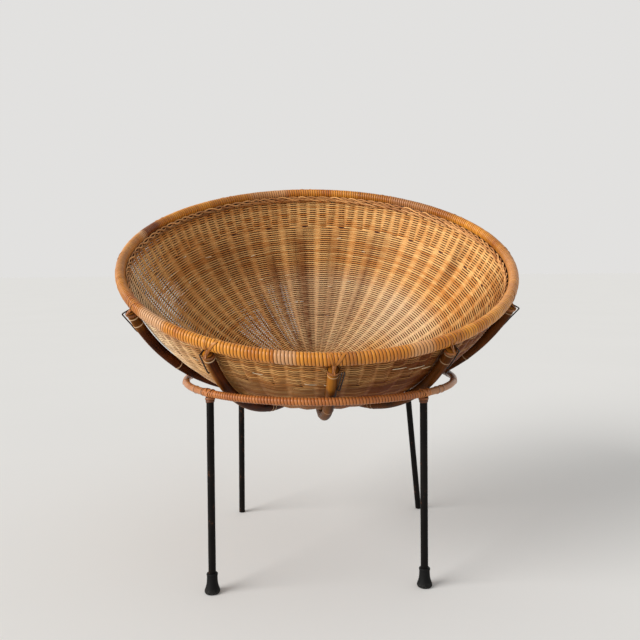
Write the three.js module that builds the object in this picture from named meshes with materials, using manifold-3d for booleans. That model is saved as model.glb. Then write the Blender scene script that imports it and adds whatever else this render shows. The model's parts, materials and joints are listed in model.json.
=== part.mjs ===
// A round basket chair. A woven cane bowl with a wrapped rim hangs between twelve cane poles
// and lies loose, tilted towards the sitter, in the wrapped ring of a four-legged steel stand.
// The poles lie on a sphere, so the bowl turns in the ring like a ball in a socket.
// Millimetres, +Z up, the sitter faces -Y, +X is to the right of someone looking at the seat.
import * as THREE from 'three';
import { mergeVertices } from 'three/addons/utils/BufferGeometryUtils.js';
import Module from 'manifold-3d';

const wasm = await Module();
wasm.setup();

const degree = Math.PI / 180;
const turn = 2 * Math.PI;

// Fits
const fitGap = 0.3;
const seatGap = 0.1;
const turnGap = 0.6;
const cutOverrun = 4;

// Stand
const ringRadius = 260;
const ringHeight = 342;
const ringRodRadius = 4.5;
const ringCaneThickness = 1.3;
const ringTurns = 11;
const legRadius = 6.5;
const legTurn = -2 * degree;
const legs = [
  { name: 'front_left', bearing: -45 * degree, splay: 3.2 * degree, drift: 4 * degree, capped: true },
  { name: 'front_right', bearing: 45 * degree, splay: 0.3 * degree, drift: 0.5 * degree, capped: true },
  { name: 'back_right', bearing: 135 * degree, splay: 7.5 * degree, drift: -0.5 * degree, capped: false },
  { name: 'back_left', bearing: -135 * degree, splay: 0.3 * degree, drift: 0.5 * degree, capped: false },
];

// Rubber feet: an outline point stands at shares of the foot wall, the top wall and the height
const capHeight = 34;
const capFloor = 5;
const capTopWall = 2.4;
const capFootWall = 6.6;
const capOutlineShares = [
  [0.8, 0, 0], [1, 0, 0.09], [0.92, 0, 0.2], [0, 1.25, 0.55], [0, 1, 0.92], [0, 0.6, 1],
];

// Cane lashing where a leg meets the ring
const lashingReach = 15;
const collarHeight = 9;
const lashingThickness = 2;

// Woven bowl, from the weave's lowest point up to the rim's middle
const bowlDepth = 281;
const bowlWall = 3;
const stakeSwell = 1;
const weaveRelief = 0.5;
const stakeCount = 48;
const weaveRows = 8;

// Rim: its middle stands a little proud of the weave's middle
const rimRadius = 388;
const rimProud = 3;
const rimPoleHalfWidth = 6.2;
const rimPoleHalfHeight = 8;
const rimCaneThickness = 1.5;
const rimTurns = 10;
const plaitRadius = 4;
const plaitLumpShare = 0.22;
const plaitTurns = 30;

// Poles under the bowl
const ribCount = 12;
const ribRadius = 10;
const ribTurn = 3.6 * degree;
const ribJointSwell = 0.4;
const ribJointShares = [0.31, 0.68, 0.95];
const bottomHoopRadius = 62;
const bottomHoopPoleRadius = 9;

// Steel wire hairpins beside the tops of the poles
const wireRadius = 1.25;
const wireLength = 52;
const wireSpread = 10;
const wireCorner = 4;

// How the bowl lies in the ring
const seatTilt = 24.7 * degree;
const seatLean = 1.4 * degree;

// Faces on round stretches, and halvings in a search
const hoopSteps = 60;
const hoopSides = 6;
const turnSteps = 8;
const lashingSides = 8;
const plaitSides = 5;
const searchSteps = 40;
const ribSteps = 14;
const ribSides = 8;
const bottomHoopSteps = 24;
const legSides = 14;
const wireSides = 5;
const wireSteps = 14;

// Places that follow from the sizes above
const hoopStep = turn / hoopSteps;
const sagShare = 1 - Math.cos(hoopStep / 2);
const bowlRadius = (rimRadius ** 2 + bowlDepth ** 2 - rimProud ** 2) / (2 * (bowlDepth + rimProud));
const rimDrop = bowlRadius - bowlDepth;
const rimAngle = Math.atan2(rimRadius, rimDrop);
const rimDistance = Math.hypot(rimRadius, rimDrop);
const boreOver = (pole, hoop) => (pole + fitGap + hoop * sagShare) / Math.cos(Math.PI / turnSteps);
const rimBore = { across: boreOver(rimPoleHalfWidth, rimRadius), up: boreOver(rimPoleHalfHeight, rimRadius) };
const rimHalfWidth = rimBore.across + rimCaneThickness;
const rimHalfHeight = rimBore.up + rimCaneThickness;
const weaveReach = bowlWall / 2 + stakeSwell + weaveRelief;
const weaveEdgeAngle = lastThat(rimAngle - rimHalfHeight / rimDistance * 2, rimAngle, (angle) => {
  const edge = bowlRadius + bowlWall / 2;
  const across = (rimRadius - edge * Math.sin(angle)) / (rimHalfWidth + fitGap);
  const down = (edge * Math.cos(angle) - rimDrop) / (rimHalfHeight + fitGap);
  return Math.hypot(across, down) > 1;
});
const ribTopAngle = rimAngle - (rimHalfHeight * Math.sin(rimAngle) + fitGap) / rimDistance;
const ribSag = bowlRadius * (1 - Math.cos(ribTopAngle / ribSteps / 2));
const ribCentre = bowlRadius + weaveReach + fitGap + ribSag + ribRadius;
const ribBottomAngle = Math.asin((bottomHoopRadius + bottomHoopPoleRadius + fitGap) / ribCentre);
const ringBore = boreOver(ringRodRadius, ringRadius);
const ringOuterRadius = ringBore + ringCaneThickness;
const seatReach = ribCentre + ribRadius + seatGap + ringOuterRadius;
const seatCentreHeight = ringHeight + Math.sqrt(seatReach ** 2 - ringRadius ** 2);
const lashingAngle = lashingReach / ringRadius;

// The last value from low to high that still fits.
function lastThat(low, high, fits) {
  let [good, bad] = [low, high];
  for (let i = 0; i < searchSteps; i += 1) {
    const middle = (good + bad) / 2;
    if (fits(middle)) good = middle;
    else bad = middle;
  }
  return good;
}

// Finishes
const finish = (color, roughness, metalness = 0) =>
  new THREE.MeshStandardMaterial({ color, roughness, metalness });
const finishes = {
  paint: finish(0x1c1a18, 0.55, 0.3),
  rubber: finish(0x121110, 0.7),
  ringCane: finish(0xb4713f, 0.5),
  rimCane: finish(0xb87a3a, 0.45),
  core: finish(0x8a6238, 0.7),
  weave: finish(0xb98a50, 0.6),
  plait: finish(0x6e4320, 0.6),
  pole: finish(0x4c2415, 0.4),
  wire: finish(0x6f6a64, 0.4, 0.8),
};

// Signed volume of a mesh: negative where its faces point in.
function signedVolume(position, index) {
  const [a, b, c] = [new THREE.Vector3(), new THREE.Vector3(), new THREE.Vector3()];
  let volume = 0;
  for (let i = 0; i < index.length; i += 3) {
    a.fromBufferAttribute(position, index[i]);
    b.fromBufferAttribute(position, index[i + 1]);
    c.fromBufferAttribute(position, index[i + 2]);
    volume += a.dot(b.cross(c)) / 6;
  }
  return volume;
}

// A closed mesh: corners are shared, flat triangles are gone and the faces point out.
function closed(geometry) {
  geometry.deleteAttribute('normal');
  geometry.deleteAttribute('uv');
  const merged = mergeVertices(geometry);
  const index = [];
  for (let i = 0; i < merged.index.count; i += 3) {
    const [a, b, c] = [0, 1, 2].map((k) => merged.index.getX(i + k));
    if (a !== b && b !== c && c !== a) index.push(a, b, c);
  }
  if (signedVolume(merged.attributes.position, index) < 0) index.reverse();
  merged.setIndex(index);
  return merged;
}

// Joins and cuts
function solidOf(geometry) {
  const shape = closed(geometry);
  const vertProperties = Float32Array.from(shape.attributes.position.array);
  const triVerts = Uint32Array.from(shape.index.array);
  return new wasm.Manifold(new wasm.Mesh({ numProp: 3, vertProperties, triVerts }));
}

function geometryOf(solid) {
  const mesh = solid.getMesh();
  const geometry = new THREE.BufferGeometry();
  geometry.setAttribute('position', new THREE.BufferAttribute(Float32Array.from(mesh.vertProperties), 3));
  geometry.setIndex(new THREE.BufferAttribute(Uint32Array.from(mesh.triVerts), 1));
  return geometry;
}

function addPiece(parent, name, geometry, material) {
  const mesh = new THREE.Mesh(closed(geometry), material);
  mesh.name = name;
  parent.add(mesh);
  return mesh;
}

// Moves every point of a shape by place(across, along, up), which gives its new place.
function bend(geometry, place) {
  const position = geometry.attributes.position;
  for (let i = 0; i < position.count; i += 1) {
    const to = place(position.getX(i), position.getY(i), position.getZ(i));
    position.setXYZ(i, to.x, to.y, to.z);
  }
  return geometry;
}

// Bends a straight length, which runs along Y, round a hoop; bearing 0 is the front.
function aroundHoop(radius, height, bearing = 0) {
  return (across, along, up) => {
    const angle = bearing + along / radius;
    const reach = radius + across;
    return new THREE.Vector3(reach * Math.sin(angle), -reach * Math.cos(angle), height + up);
  };
}

// The point at an angle up from the bowl's lowest point, at a distance from the bowl's centre.
function bowlPoint(bearing, angle, distance, side = 0) {
  const out = distance * Math.sin(angle);
  return new THREE.Vector3(
    out * Math.sin(bearing) + side * Math.cos(bearing),
    -out * Math.cos(bearing) + side * Math.sin(bearing),
    -distance * Math.cos(angle),
  );
}

// Places from one end of a length to the other, both included.
function spaced(from, to, steps) {
  return Array.from({ length: steps + 1 }, (_, i) => from + ((to - from) * i) / steps);
}

// A solid round rod along Y, through stations of { at, radius }.
function rodAlong(stations, sides) {
  const last = stations.length - 1;
  const profile = stations.map(({ at, radius }) => new THREE.Vector2(radius, at));
  profile.unshift(new THREE.Vector2(0, stations[0].at));
  profile.push(new THREE.Vector2(0, stations[last].at));
  return new THREE.LatheGeometry(profile, sides);
}

// A flat cane with a low ridge, wound along Y round an oval bore; the bore's half sizes are given
// across and up. The first and last turn narrow to a point, so the winding ends square.
function windingAlong(from, to, bore, wall, turns) {
  const pitch = (to - from - turnGap - wall) / (turns - 1);
  const halfBand = (pitch - turnGap) / 2;
  const points = [];
  spaced(from - halfBand + wall / 2, to + halfBand - wall / 2, turns * turnSteps).forEach((middle, step) => {
    const [low, high] = [Math.max(from, middle - halfBand), Math.min(to, middle + halfBand)];
    const angle = (step * turn) / turnSteps;
    [[low, 0], [high, 0], [(low + high) / 2, wall]].forEach(([at, out]) => {
      const across = (bore.across + out) * Math.sin(angle);
      points.push(new THREE.Vector3(across, at, -(bore.up + out) * Math.cos(angle)));
    });
  });
  const geometry = new THREE.BufferGeometry().setFromPoints(points);
  const index = [0, 1, 2];
  for (let first = 0; first + 3 < points.length; first += 3) {
    [[0, 1], [1, 2], [2, 0]].forEach(([a, b]) => {
      index.push(first + a, first + 3 + a, first + b, first + b, first + 3 + a, first + 3 + b);
    });
  }
  const last = points.length - 3;
  geometry.setIndex([...index, last + 2, last + 1, last]);
  return geometry;
}

// The least gap from any point of a winding to a point at least half a turn further on.
function leastGap(geometry) {
  const position = geometry.attributes.position;
  const pointAt = (_, i) => new THREE.Vector3().fromBufferAttribute(position, i);
  const points = Array.from({ length: position.count }, pointAt);
  const apart = (turnSteps / 2) * 3;
  const gaps = points.slice(0, -apart).flatMap((a, i) => points.slice(i + apart).map((b) => a.distanceTo(b)));
  return Math.min(...gaps);
}

// Where a leg leaves the ring and where it meets the floor.
function legEnds(leg) {
  const top = aroundHoop(ringRadius, ringHeight)(0, (leg.bearing + legTurn) * ringRadius, 0);
  const out = new THREE.Vector3(top.x, top.y, 0).normalize();
  const along = new THREE.Vector3(-out.y, out.x, 0);
  const foot = new THREE.Vector3(top.x, top.y, 0).addScaledVector(out, ringHeight * Math.tan(leg.splay));
  foot.addScaledVector(along, ringHeight * Math.tan(leg.drift));
  return { top, foot };
}

// A rod on a leg's line between two heights. Its ends are level, so it stands flat.
function legRod(leg, from, to, radius) {
  const { top, foot } = legEnds(leg);
  const stations = [from, to].map((at) => ({ at, radius }));
  return bend(rodAlong(stations, legSides), (x, y, z) => {
    const share = y / top.z;
    return new THREE.Vector3(x, -z, y).add(foot.clone().lerp(new THREE.Vector3(top.x, top.y, 0), share));
  });
}

function ringTorus(radius) {
  const geometry = new THREE.TorusGeometry(ringRadius, radius, hoopSides, hoopSteps);
  return geometry.translate(0, 0, ringHeight);
}

// A leg: its top end is hollowed to sit under the ring's rod.
function legGeometry(leg) {
  const bottom = leg.capped ? capFloor : 0;
  const rod = solidOf(legRod(leg, bottom, ringHeight, legRadius));
  const seat = solidOf(ringTorus(ringRodRadius + fitGap));
  const crown = new THREE.CylinderGeometry(1, 1, 1, legSides).rotateX(Math.PI / 2);
  crown.scale(lashingReach, lashingReach, ringRodRadius);
  crown.translate(legEnds(leg).top.x, legEnds(leg).top.y, ringHeight + ringRodRadius / 2 - fitGap);
  return geometryOf(rod.subtract(seat).subtract(solidOf(crown)));
}

// A rubber foot: a tapered bulb with a blind hole, on the line of its leg.
function capGeometry(leg) {
  const { foot } = legEnds(leg);
  const hole = legRadius + fitGap;
  const outline = capOutlineShares.map(
    ([low, high, up]) => new THREE.Vector2(hole + capFootWall * low + capTopWall * high, capHeight * up),
  );
  const profile = [new THREE.Vector2(0, 0), ...outline, new THREE.Vector2(0, capHeight)];
  const bulb = new THREE.LatheGeometry(profile, legSides);
  bulb.rotateX(Math.PI / 2).translate(foot.x, foot.y, 0);
  const bore = legRod(leg, capFloor - fitGap, capHeight + cutOverrun, hole);
  return geometryOf(solidOf(bulb).subtract(solidOf(bore)));
}

// Cane bound over the ring and down round the top of a leg.
function lashingGeometry(leg) {
  const place = aroundHoop(ringRadius, ringHeight, leg.bearing + legTurn);
  const reach = lashingReach - fitGap;
  const stations = [-reach, 0, reach].map((at) => ({ at, radius: ringOuterRadius }));
  const over = solidOf(bend(rodAlong(stations, lashingSides), place));
  const low = ringHeight - ringOuterRadius - collarHeight;
  const collar = solidOf(legRod(leg, low, ringHeight, legRadius + fitGap + lashingThickness));
  const rod = solidOf(legRod(leg, low - cutOverrun, ringHeight, legRadius + fitGap));
  return geometryOf(over.add(collar).subtract(rod).subtract(solidOf(ringTorus(ringRodRadius + fitGap * 2))));
}

// The cane between two legs' lashings, wound round the ring's rod.
function ringCaneGeometry(from, to) {
  const [start, end] = [from + lashingAngle, to - lashingAngle].map((bearing) => bearing * ringRadius);
  const winding = windingAlong(start, end, { across: ringBore, up: ringBore }, ringCaneThickness, ringTurns);
  return bend(winding, aroundHoop(ringRadius, ringHeight));
}

function makeStand() {
  const stand = new THREE.Group();
  addPiece(stand, 'stand_ring', ringTorus(ringRodRadius), finishes.paint);
  legs.forEach((leg, i) => {
    const next = legs[(i + 1) % legs.length];
    const side = ['front', 'right', 'back', 'left'][i];
    const to = next.bearing + (next.bearing < leg.bearing ? turn : 0);
    addPiece(stand, `leg_${leg.name}`, legGeometry(leg), finishes.paint);
    addPiece(stand, `leg_lashing_${leg.name}`, lashingGeometry(leg), finishes.ringCane);
    const cane = ringCaneGeometry(leg.bearing + legTurn, to + legTurn);
    addPiece(stand, `ring_cane_${side}`, cane, finishes.ringCane);
    if (leg.capped) addPiece(stand, `foot_cap_${leg.name}`, capGeometry(leg), finishes.rubber);
  });
  return stand;
}

// The woven bowl: a wall that swells on both faces over each stake and thins between stakes, where
// the canes cross. At a stake one row stands out and the next one in.
function weaveGeometry() {
  const angles = spaced(0, weaveEdgeAngle, weaveRows);
  const arc = (radius) => angles.map((a) => new THREE.Vector2(radius * Math.sin(a), -radius * Math.cos(a)));
  const outer = arc(bowlRadius + bowlWall / 2);
  const inner = arc(bowlRadius - bowlWall / 2).reverse();
  const profile = [...outer, ...inner];
  const geometry = new THREE.LatheGeometry(profile, stakeCount * 2).rotateX(Math.PI / 2).rotateZ(ribTurn);
  const position = geometry.attributes.position;
  for (let i = 0; i < position.count; i += 1) {
    const stake = Math.floor(i / profile.length) / 2;
    const place = i % profile.length;
    const face = place < outer.length ? 1 : -1;
    const row = face === 1 ? place : profile.length - 1 - place;
    if (row === 0 || row === weaveRows || !Number.isInteger(stake)) continue;
    const wave = (stake + row) % 2 === 0 ? weaveRelief : -weaveRelief;
    const point = new THREE.Vector3().fromBufferAttribute(position, i);
    point.setLength(point.length() + face * stakeSwell + wave);
    position.setXYZ(i, point.x, point.y, point.z);
  }
  return geometry;
}

// The rim's pole: an oval hoop.
function rimHoopGeometry() {
  const geometry = new THREE.TorusGeometry(rimRadius, rimPoleHalfWidth, hoopSides, hoopSteps);
  return geometry.scale(1, 1, rimPoleHalfHeight / rimPoleHalfWidth).translate(0, 0, -rimDrop);
}

// The cane wound on the rim from one pole's top to the next.
function rimCaneGeometry(from, to) {
  const [start, end] = [from * rimRadius + fitGap / 2, to * rimRadius - fitGap / 2];
  const winding = windingAlong(start, end, rimBore, rimCaneThickness, rimTurns);
  return bend(winding, aroundHoop(rimRadius, -rimDrop));
}

// How far below the rim's middle the plait lies, so that it touches both the rim and the weave.
function plaitPlace() {
  const below = 2 * plaitRadius * (1 + plaitLumpShare);
  const row = (bowlRadius * weaveEdgeAngle) / weaveRows;
  const dip = (below * (row - below)) / (2 * bowlRadius) + ((stakeSwell + weaveRelief) * below) / row;
  const inside = bowlRadius - bowlWall / 2 - dip;
  const reach = inside - fitGap - plaitRadius * (1 + plaitLumpShare);
  const at = (slope) => {
    const oval = 1 / Math.hypot(Math.cos(slope) / rimHalfWidth, Math.sin(slope) / rimHalfHeight);
    const away = oval + plaitRadius * (1 + plaitLumpShare) + seatGap;
    return { radius: rimRadius - away * Math.cos(slope), drop: rimDrop + away * Math.sin(slope) };
  };
  const slope = lastThat(0, Math.PI / 2, (tried) => Math.hypot(at(tried).radius, at(tried).drop) < reach);
  return { slope, ...at(slope) };
}

// The plaited border inside the rim, swelling where its strands cross. One corner of its section
// points at the rim.
function plaitGeometry() {
  const { slope, radius, drop } = plaitPlace();
  const geometry = new THREE.TorusGeometry(1, 0, plaitSides, hoopSteps);
  const position = geometry.attributes.position;
  const ring = hoopSteps + 1;
  for (let i = 0; i < position.count; i += 1) {
    const along = ((i % ring) * turn) / hoopSteps;
    const round = slope + (Math.floor(i / ring) * turn) / plaitSides;
    const swell = plaitRadius * (1 + plaitLumpShare * Math.cos(along * plaitTurns));
    const reach = radius + swell * Math.cos(round);
    position.setXYZ(i, reach * Math.cos(along), reach * Math.sin(along), swell * Math.sin(round) - drop);
  }
  return geometry;
}

// A cane pole down the outside of the bowl, from the rim to the bottom hoop.
function ribGeometry(bearing) {
  const [from, to] = [ribBottomAngle * ribCentre, ribTopAngle * ribCentre];
  const places = spaced(from, to, ribSteps);
  const joints = ribJointShares.map((share) => from + (to - from) * share);
  const stations = places.map((at) => ({ at, radius: ribRadius - ribJointSwell }));
  joints.forEach((joint) => {
    const nearest = stations.reduce((a, b) => (Math.abs(b.at - joint) < Math.abs(a.at - joint) ? b : a));
    nearest.radius = ribRadius;
  });
  return bend(rodAlong(stations, ribSides), (x, y, z) => bowlPoint(bearing, y / ribCentre, ribCentre + x, z));
}

function bottomHoopGeometry() {
  const drop = Math.sqrt(ribCentre ** 2 - bottomHoopRadius ** 2);
  const geometry = new THREE.TorusGeometry(bottomHoopRadius, bottomHoopPoleRadius, ribSides, bottomHoopSteps);
  return geometry.rotateZ(ribTurn).translate(0, 0, -drop);
}

// A wire hairpin beside a pole: out from under the rim, down, round and back up.
function wireGeometry(bearing) {
  const side = (ribRadius + wireRadius + fitGap) * (Math.sin(bearing) < 0 ? -1 : 1);
  const outer = ribCentre + wireSpread / 2;
  const inner = ribCentre - wireSpread / 2;
  const top = ribTopAngle - (wireRadius + fitGap) / ribCentre;
  const down = (length) => top - length / ribCentre;
  const bottom = wireLength - wireSpread / 2;
  const points = [
    bowlPoint(bearing, down(0), inner, side),
    bowlPoint(bearing, down(0), outer - wireCorner, side),
    bowlPoint(bearing, down(wireCorner), outer, side),
    bowlPoint(bearing, down(bottom / 2), outer, side),
    bowlPoint(bearing, down(bottom), outer, side),
    bowlPoint(bearing, down(wireLength), ribCentre, side),
    bowlPoint(bearing, down(bottom), inner, side),
    bowlPoint(bearing, down(bottom / 2), inner, side),
    bowlPoint(bearing, down(wireCorner * 2), inner, side),
  ];
  const path = new THREE.CatmullRomCurve3(points, false, 'centripetal');
  const section = new THREE.Shape(spaced(0, turn, wireSides).slice(0, -1).map(
    (a) => new THREE.Vector2(wireRadius * Math.cos(a), wireRadius * Math.sin(a)),
  ));
  return new THREE.ExtrudeGeometry(section, { steps: wireSteps, extrudePath: path, bevelEnabled: false });
}

function makeSeat() {
  const seat = new THREE.Group();
  addPiece(seat, 'woven_bowl', weaveGeometry(), finishes.weave);
  addPiece(seat, 'rim_hoop', rimHoopGeometry(), finishes.core);
  addPiece(seat, 'border_plait', plaitGeometry(), finishes.plait);
  addPiece(seat, 'bottom_hoop', bottomHoopGeometry(), finishes.pole);
  const bearings = spaced(ribTurn, ribTurn + turn, ribCount);
  for (let i = 0; i < ribCount; i += 1) {
    const number = String(i + 1).padStart(2, '0');
    addPiece(seat, `rib_${number}`, ribGeometry(bearings[i]), finishes.pole);
    addPiece(seat, `rib_wire_${number}`, wireGeometry(bearings[i]), finishes.wire);
    addPiece(seat, `rim_cane_${number}`, rimCaneGeometry(bearings[i], bearings[i + 1]), finishes.rimCane);
  }
  seat.position.z = seatCentreHeight;
  seat.rotation.set(seatTilt, seatLean, 0);
  return seat;
}

// The chair stands on the floor with the middle of its outline over the origin.
const chair = new THREE.Group();
chair.add(makeStand(), makeSeat());
chair.updateMatrixWorld(true);
const outline = new THREE.Box3().setFromObject(chair, true);
const middle = outline.getCenter(new THREE.Vector3());
chair.position.set(-middle.x, -middle.y, -outline.min.z);
chair.updateMatrixWorld(true);

// The windings' own clearance, turn to turn
const gapOf = (name) => leastGap(chair.getObjectByName(name).geometry).toFixed(2);
console.log(`least gap between turns: rim ${gapOf('rim_cane_01')} mm, ring ${gapOf('ring_cane_front')} mm`);

export default chair;
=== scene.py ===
"""Looks for a round basket chair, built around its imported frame.

The seat is a bowl of woven cane between twelve cane poles, with a wound rim. It lies loose in the
wound ring of a black steel stand. Lengths are in metres, +Z is up and the sitter faces -Y.
"""

import json
import logging
import math
from dataclasses import dataclass, field
from enum import Enum
from typing import Callable, Iterable, Sequence

import bpy
import numpy as np
from mathutils import Matrix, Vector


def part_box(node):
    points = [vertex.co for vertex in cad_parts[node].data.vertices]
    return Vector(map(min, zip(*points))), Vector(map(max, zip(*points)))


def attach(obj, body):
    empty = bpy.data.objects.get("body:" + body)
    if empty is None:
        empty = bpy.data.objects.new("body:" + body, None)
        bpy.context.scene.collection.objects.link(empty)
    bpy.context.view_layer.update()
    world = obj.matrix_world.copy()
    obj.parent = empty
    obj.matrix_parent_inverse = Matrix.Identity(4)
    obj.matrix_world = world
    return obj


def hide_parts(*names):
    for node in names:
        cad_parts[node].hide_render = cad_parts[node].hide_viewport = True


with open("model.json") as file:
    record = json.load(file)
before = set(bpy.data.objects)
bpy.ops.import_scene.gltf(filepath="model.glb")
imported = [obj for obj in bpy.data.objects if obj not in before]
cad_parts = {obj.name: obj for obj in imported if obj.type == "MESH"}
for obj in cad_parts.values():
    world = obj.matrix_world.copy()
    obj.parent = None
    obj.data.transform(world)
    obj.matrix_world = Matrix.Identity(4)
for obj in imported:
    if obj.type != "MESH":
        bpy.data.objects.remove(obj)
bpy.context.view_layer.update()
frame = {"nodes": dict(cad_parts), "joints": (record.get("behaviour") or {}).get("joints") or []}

MM = 0.001
CENTIMETRE = 10 * MM
TURN = 2.0 * math.pi
DEGREE = math.pi / 180.0
POLE_COUNT = 12
POLE_TURN = 3.6 * DEGREE
SMOOTH_ANGLE = 40 * DEGREE
SEED = 7

Array = np.ndarray
Colour = tuple[float, float, float]
Piece = bpy.types.Object
Material = bpy.types.Material
Socket = bpy.types.NodeSocket
log = logging.getLogger("basket_chair")


class Body(Enum):
    """The moving bodies of the frame."""

    STAND = "stand"
    SEAT = "seat"


class Slot(Enum):
    """The record's material slots."""

    PAINT = "paint"
    RUBBER = "rubber"
    RING_CANE = "ring_cane"
    RIM_CANE = "rim_cane"
    WEAVE = "weave"
    PLAIT = "plait"
    POLE = "pole"
    WIRE = "wire"


def seeded(number: int) -> object:
    """A field that holds a random generator of its own."""
    return field(default_factory=lambda: np.random.default_rng(SEED + number))


def corners_of(piece: Piece) -> Array:
    """The corners of a mesh.

    Args:
        piece: The mesh object.

    Returns:
        One row of x, y, z for each corner.
    """
    vertices = piece.data.vertices
    flat = np.empty(len(vertices) * 3, np.float32)
    vertices.foreach_get("co", flat)
    return flat.reshape(-1, 3).astype(float)


def node_points(node: str) -> Array:
    """The corners of a CAD node."""
    return corners_of(frame["nodes"][node])


def dress(node: str, material: Material) -> None:
    """Gives a finish to a CAD node that keeps its own mesh.

    Args:
        node: The CAD node.
        material: Its finish.
    """
    materials = frame["nodes"][node].data.materials
    materials.clear()
    materials.append(material)


def unit(vectors: Array) -> Array:
    """Vectors brought to length 1."""
    return vectors / np.linalg.norm(vectors, axis=-1, keepdims=True)


def turned_from(bearing: Array, middle: Array | float) -> Array:
    """How far bearings lie from another one, at most half a turn."""
    return (bearing - middle + math.pi) % TURN - math.pi


def swell(away: Array, reach: float) -> Array:
    """A smooth swell: 1 at no distance, and almost 0 at twice its reach."""
    return np.exp(-((away / reach) ** 2))


def swells(away: Array, shares: Iterable[tuple[float, float]]) -> Array:
    """The sum of smooth swells, each with its height and its reach."""
    return sum(height * swell(away, reach) for height, reach in shares)


def fading_mark(away: Array, half_width: float, gone_at: float) -> Array:
    """A mark: 1 round its middle, and 0 from a number of half widths on."""
    return np.clip(gone_at - away / half_width, 0.0, 1.0)


def circle(count: int) -> Array:
    """Angles all round a turn."""
    return np.linspace(0.0, TURN, count, endpoint=False)


def pole_bearing(number: int) -> float:
    """The bearing of a pole."""
    return POLE_TURN + number * TURN / POLE_COUNT


def smooth_path(points: Sequence[Array], steps: int) -> Array:
    """A Catmull-Rom curve through points.

    Args:
        points: The places that the curve passes through.
        steps: Points on the curve from one place to the next.

    Returns:
        The points of the curve, up to the last place.
    """
    knots = np.asarray(points, float)
    knots = np.vstack([2 * knots[0] - knots[1], knots, 2 * knots[-1] - knots[-2]])
    share = np.linspace(0.0, 1.0, steps, endpoint=False)[:, None]
    runs = []
    for a, b, c, d in zip(knots, knots[1:], knots[2:], knots[3:]):
        cubic = (3 * b - a - 3 * c + d) * share**3
        square = (2 * a - 5 * b + 4 * c - d) * share**2
        runs.append(0.5 * (2 * b + (c - a) * share + square + cubic))
    return np.vstack([*runs, knots[-2:-1]])


@dataclass(frozen=True)
class BowlPlace:
    """Where the bowl's sphere lies, and its own directions at rest."""

    centre: Array
    up: Array
    side: Array
    front: Array

    @classmethod
    def from_frame(cls) -> "BowlPlace":
        """Reads the place from the hinge, the bottom hoop and the first pole.

        Returns:
            The bowl's place.
        """
        hinge = next(joint for joint in frame["joints"] if joint["name"] == "seat_tilt")
        centre = np.array(hinge["pos_m"], float)
        up = unit(centre - node_points("bottom_hoop").mean(0))
        first = node_points("rib_01").mean(0) - centre
        first = unit(first - (first @ up) * up)
        beside = np.cross(up, first)
        sine, cosine = math.sin(POLE_TURN), math.cos(POLE_TURN)
        return cls(centre, up, sine * first + cosine * beside, cosine * first - sine * beside)

    def level(self, bearing: Array) -> Array:
        """The direction away from the bowl's axis, at a bearing from the front."""
        bearing = np.asarray(bearing, float)[..., None]
        return np.sin(bearing) * self.side + np.cos(bearing) * self.front

    def outward(self, bearing: Array, angle: Array) -> Array:
        """The direction from the sphere's middle, at an angle up from the bowl's lowest point."""
        angle = np.asarray(angle, float)[..., None]
        return np.sin(angle) * self.level(bearing) - np.cos(angle) * self.up

    def point(self, bearing: Array, angle: Array, distance: Array) -> Array:
        """A point at a bearing, an angle and a distance from the sphere's middle."""
        distance = np.asarray(distance, float)[..., None]
        return self.centre + distance * self.outward(bearing, angle)

    def around(self, bearing: Array, reach: Array, drop: Array) -> Array:
        """A point at a reach from the bowl's axis and a drop below the sphere's middle."""
        reach, drop = (np.asarray(value, float)[..., None] for value in (reach, drop))
        return self.centre + reach * self.level(bearing) - drop * self.up

    def measure(self, points: Array) -> tuple[Array, Array]:
        """Measures points from the bowl.

        Args:
            points: The points.

        Returns:
            Their reach from the bowl's axis, and their drop below the sphere's middle.
        """
        away = points - self.centre
        drop = -(away @ self.up)
        return np.linalg.norm(away + drop[:, None] * self.up, axis=1), drop


def settle(piece: Piece, body: Body, slot: Slot, *nodes: str) -> None:
    """Puts a finished piece on its body.

    Args:
        piece: The piece.
        body: The body that it moves with.
        slot: The record's slot that its finish belongs to; not used.
        *nodes: The CAD nodes that it stands for.
    """
    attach(piece, body.value)
    if nodes:
        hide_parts(*nodes)
    log.info("%s: %d faces, for %s", piece.name, len(piece.data.polygons), ", ".join(nodes) or "itself")


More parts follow.
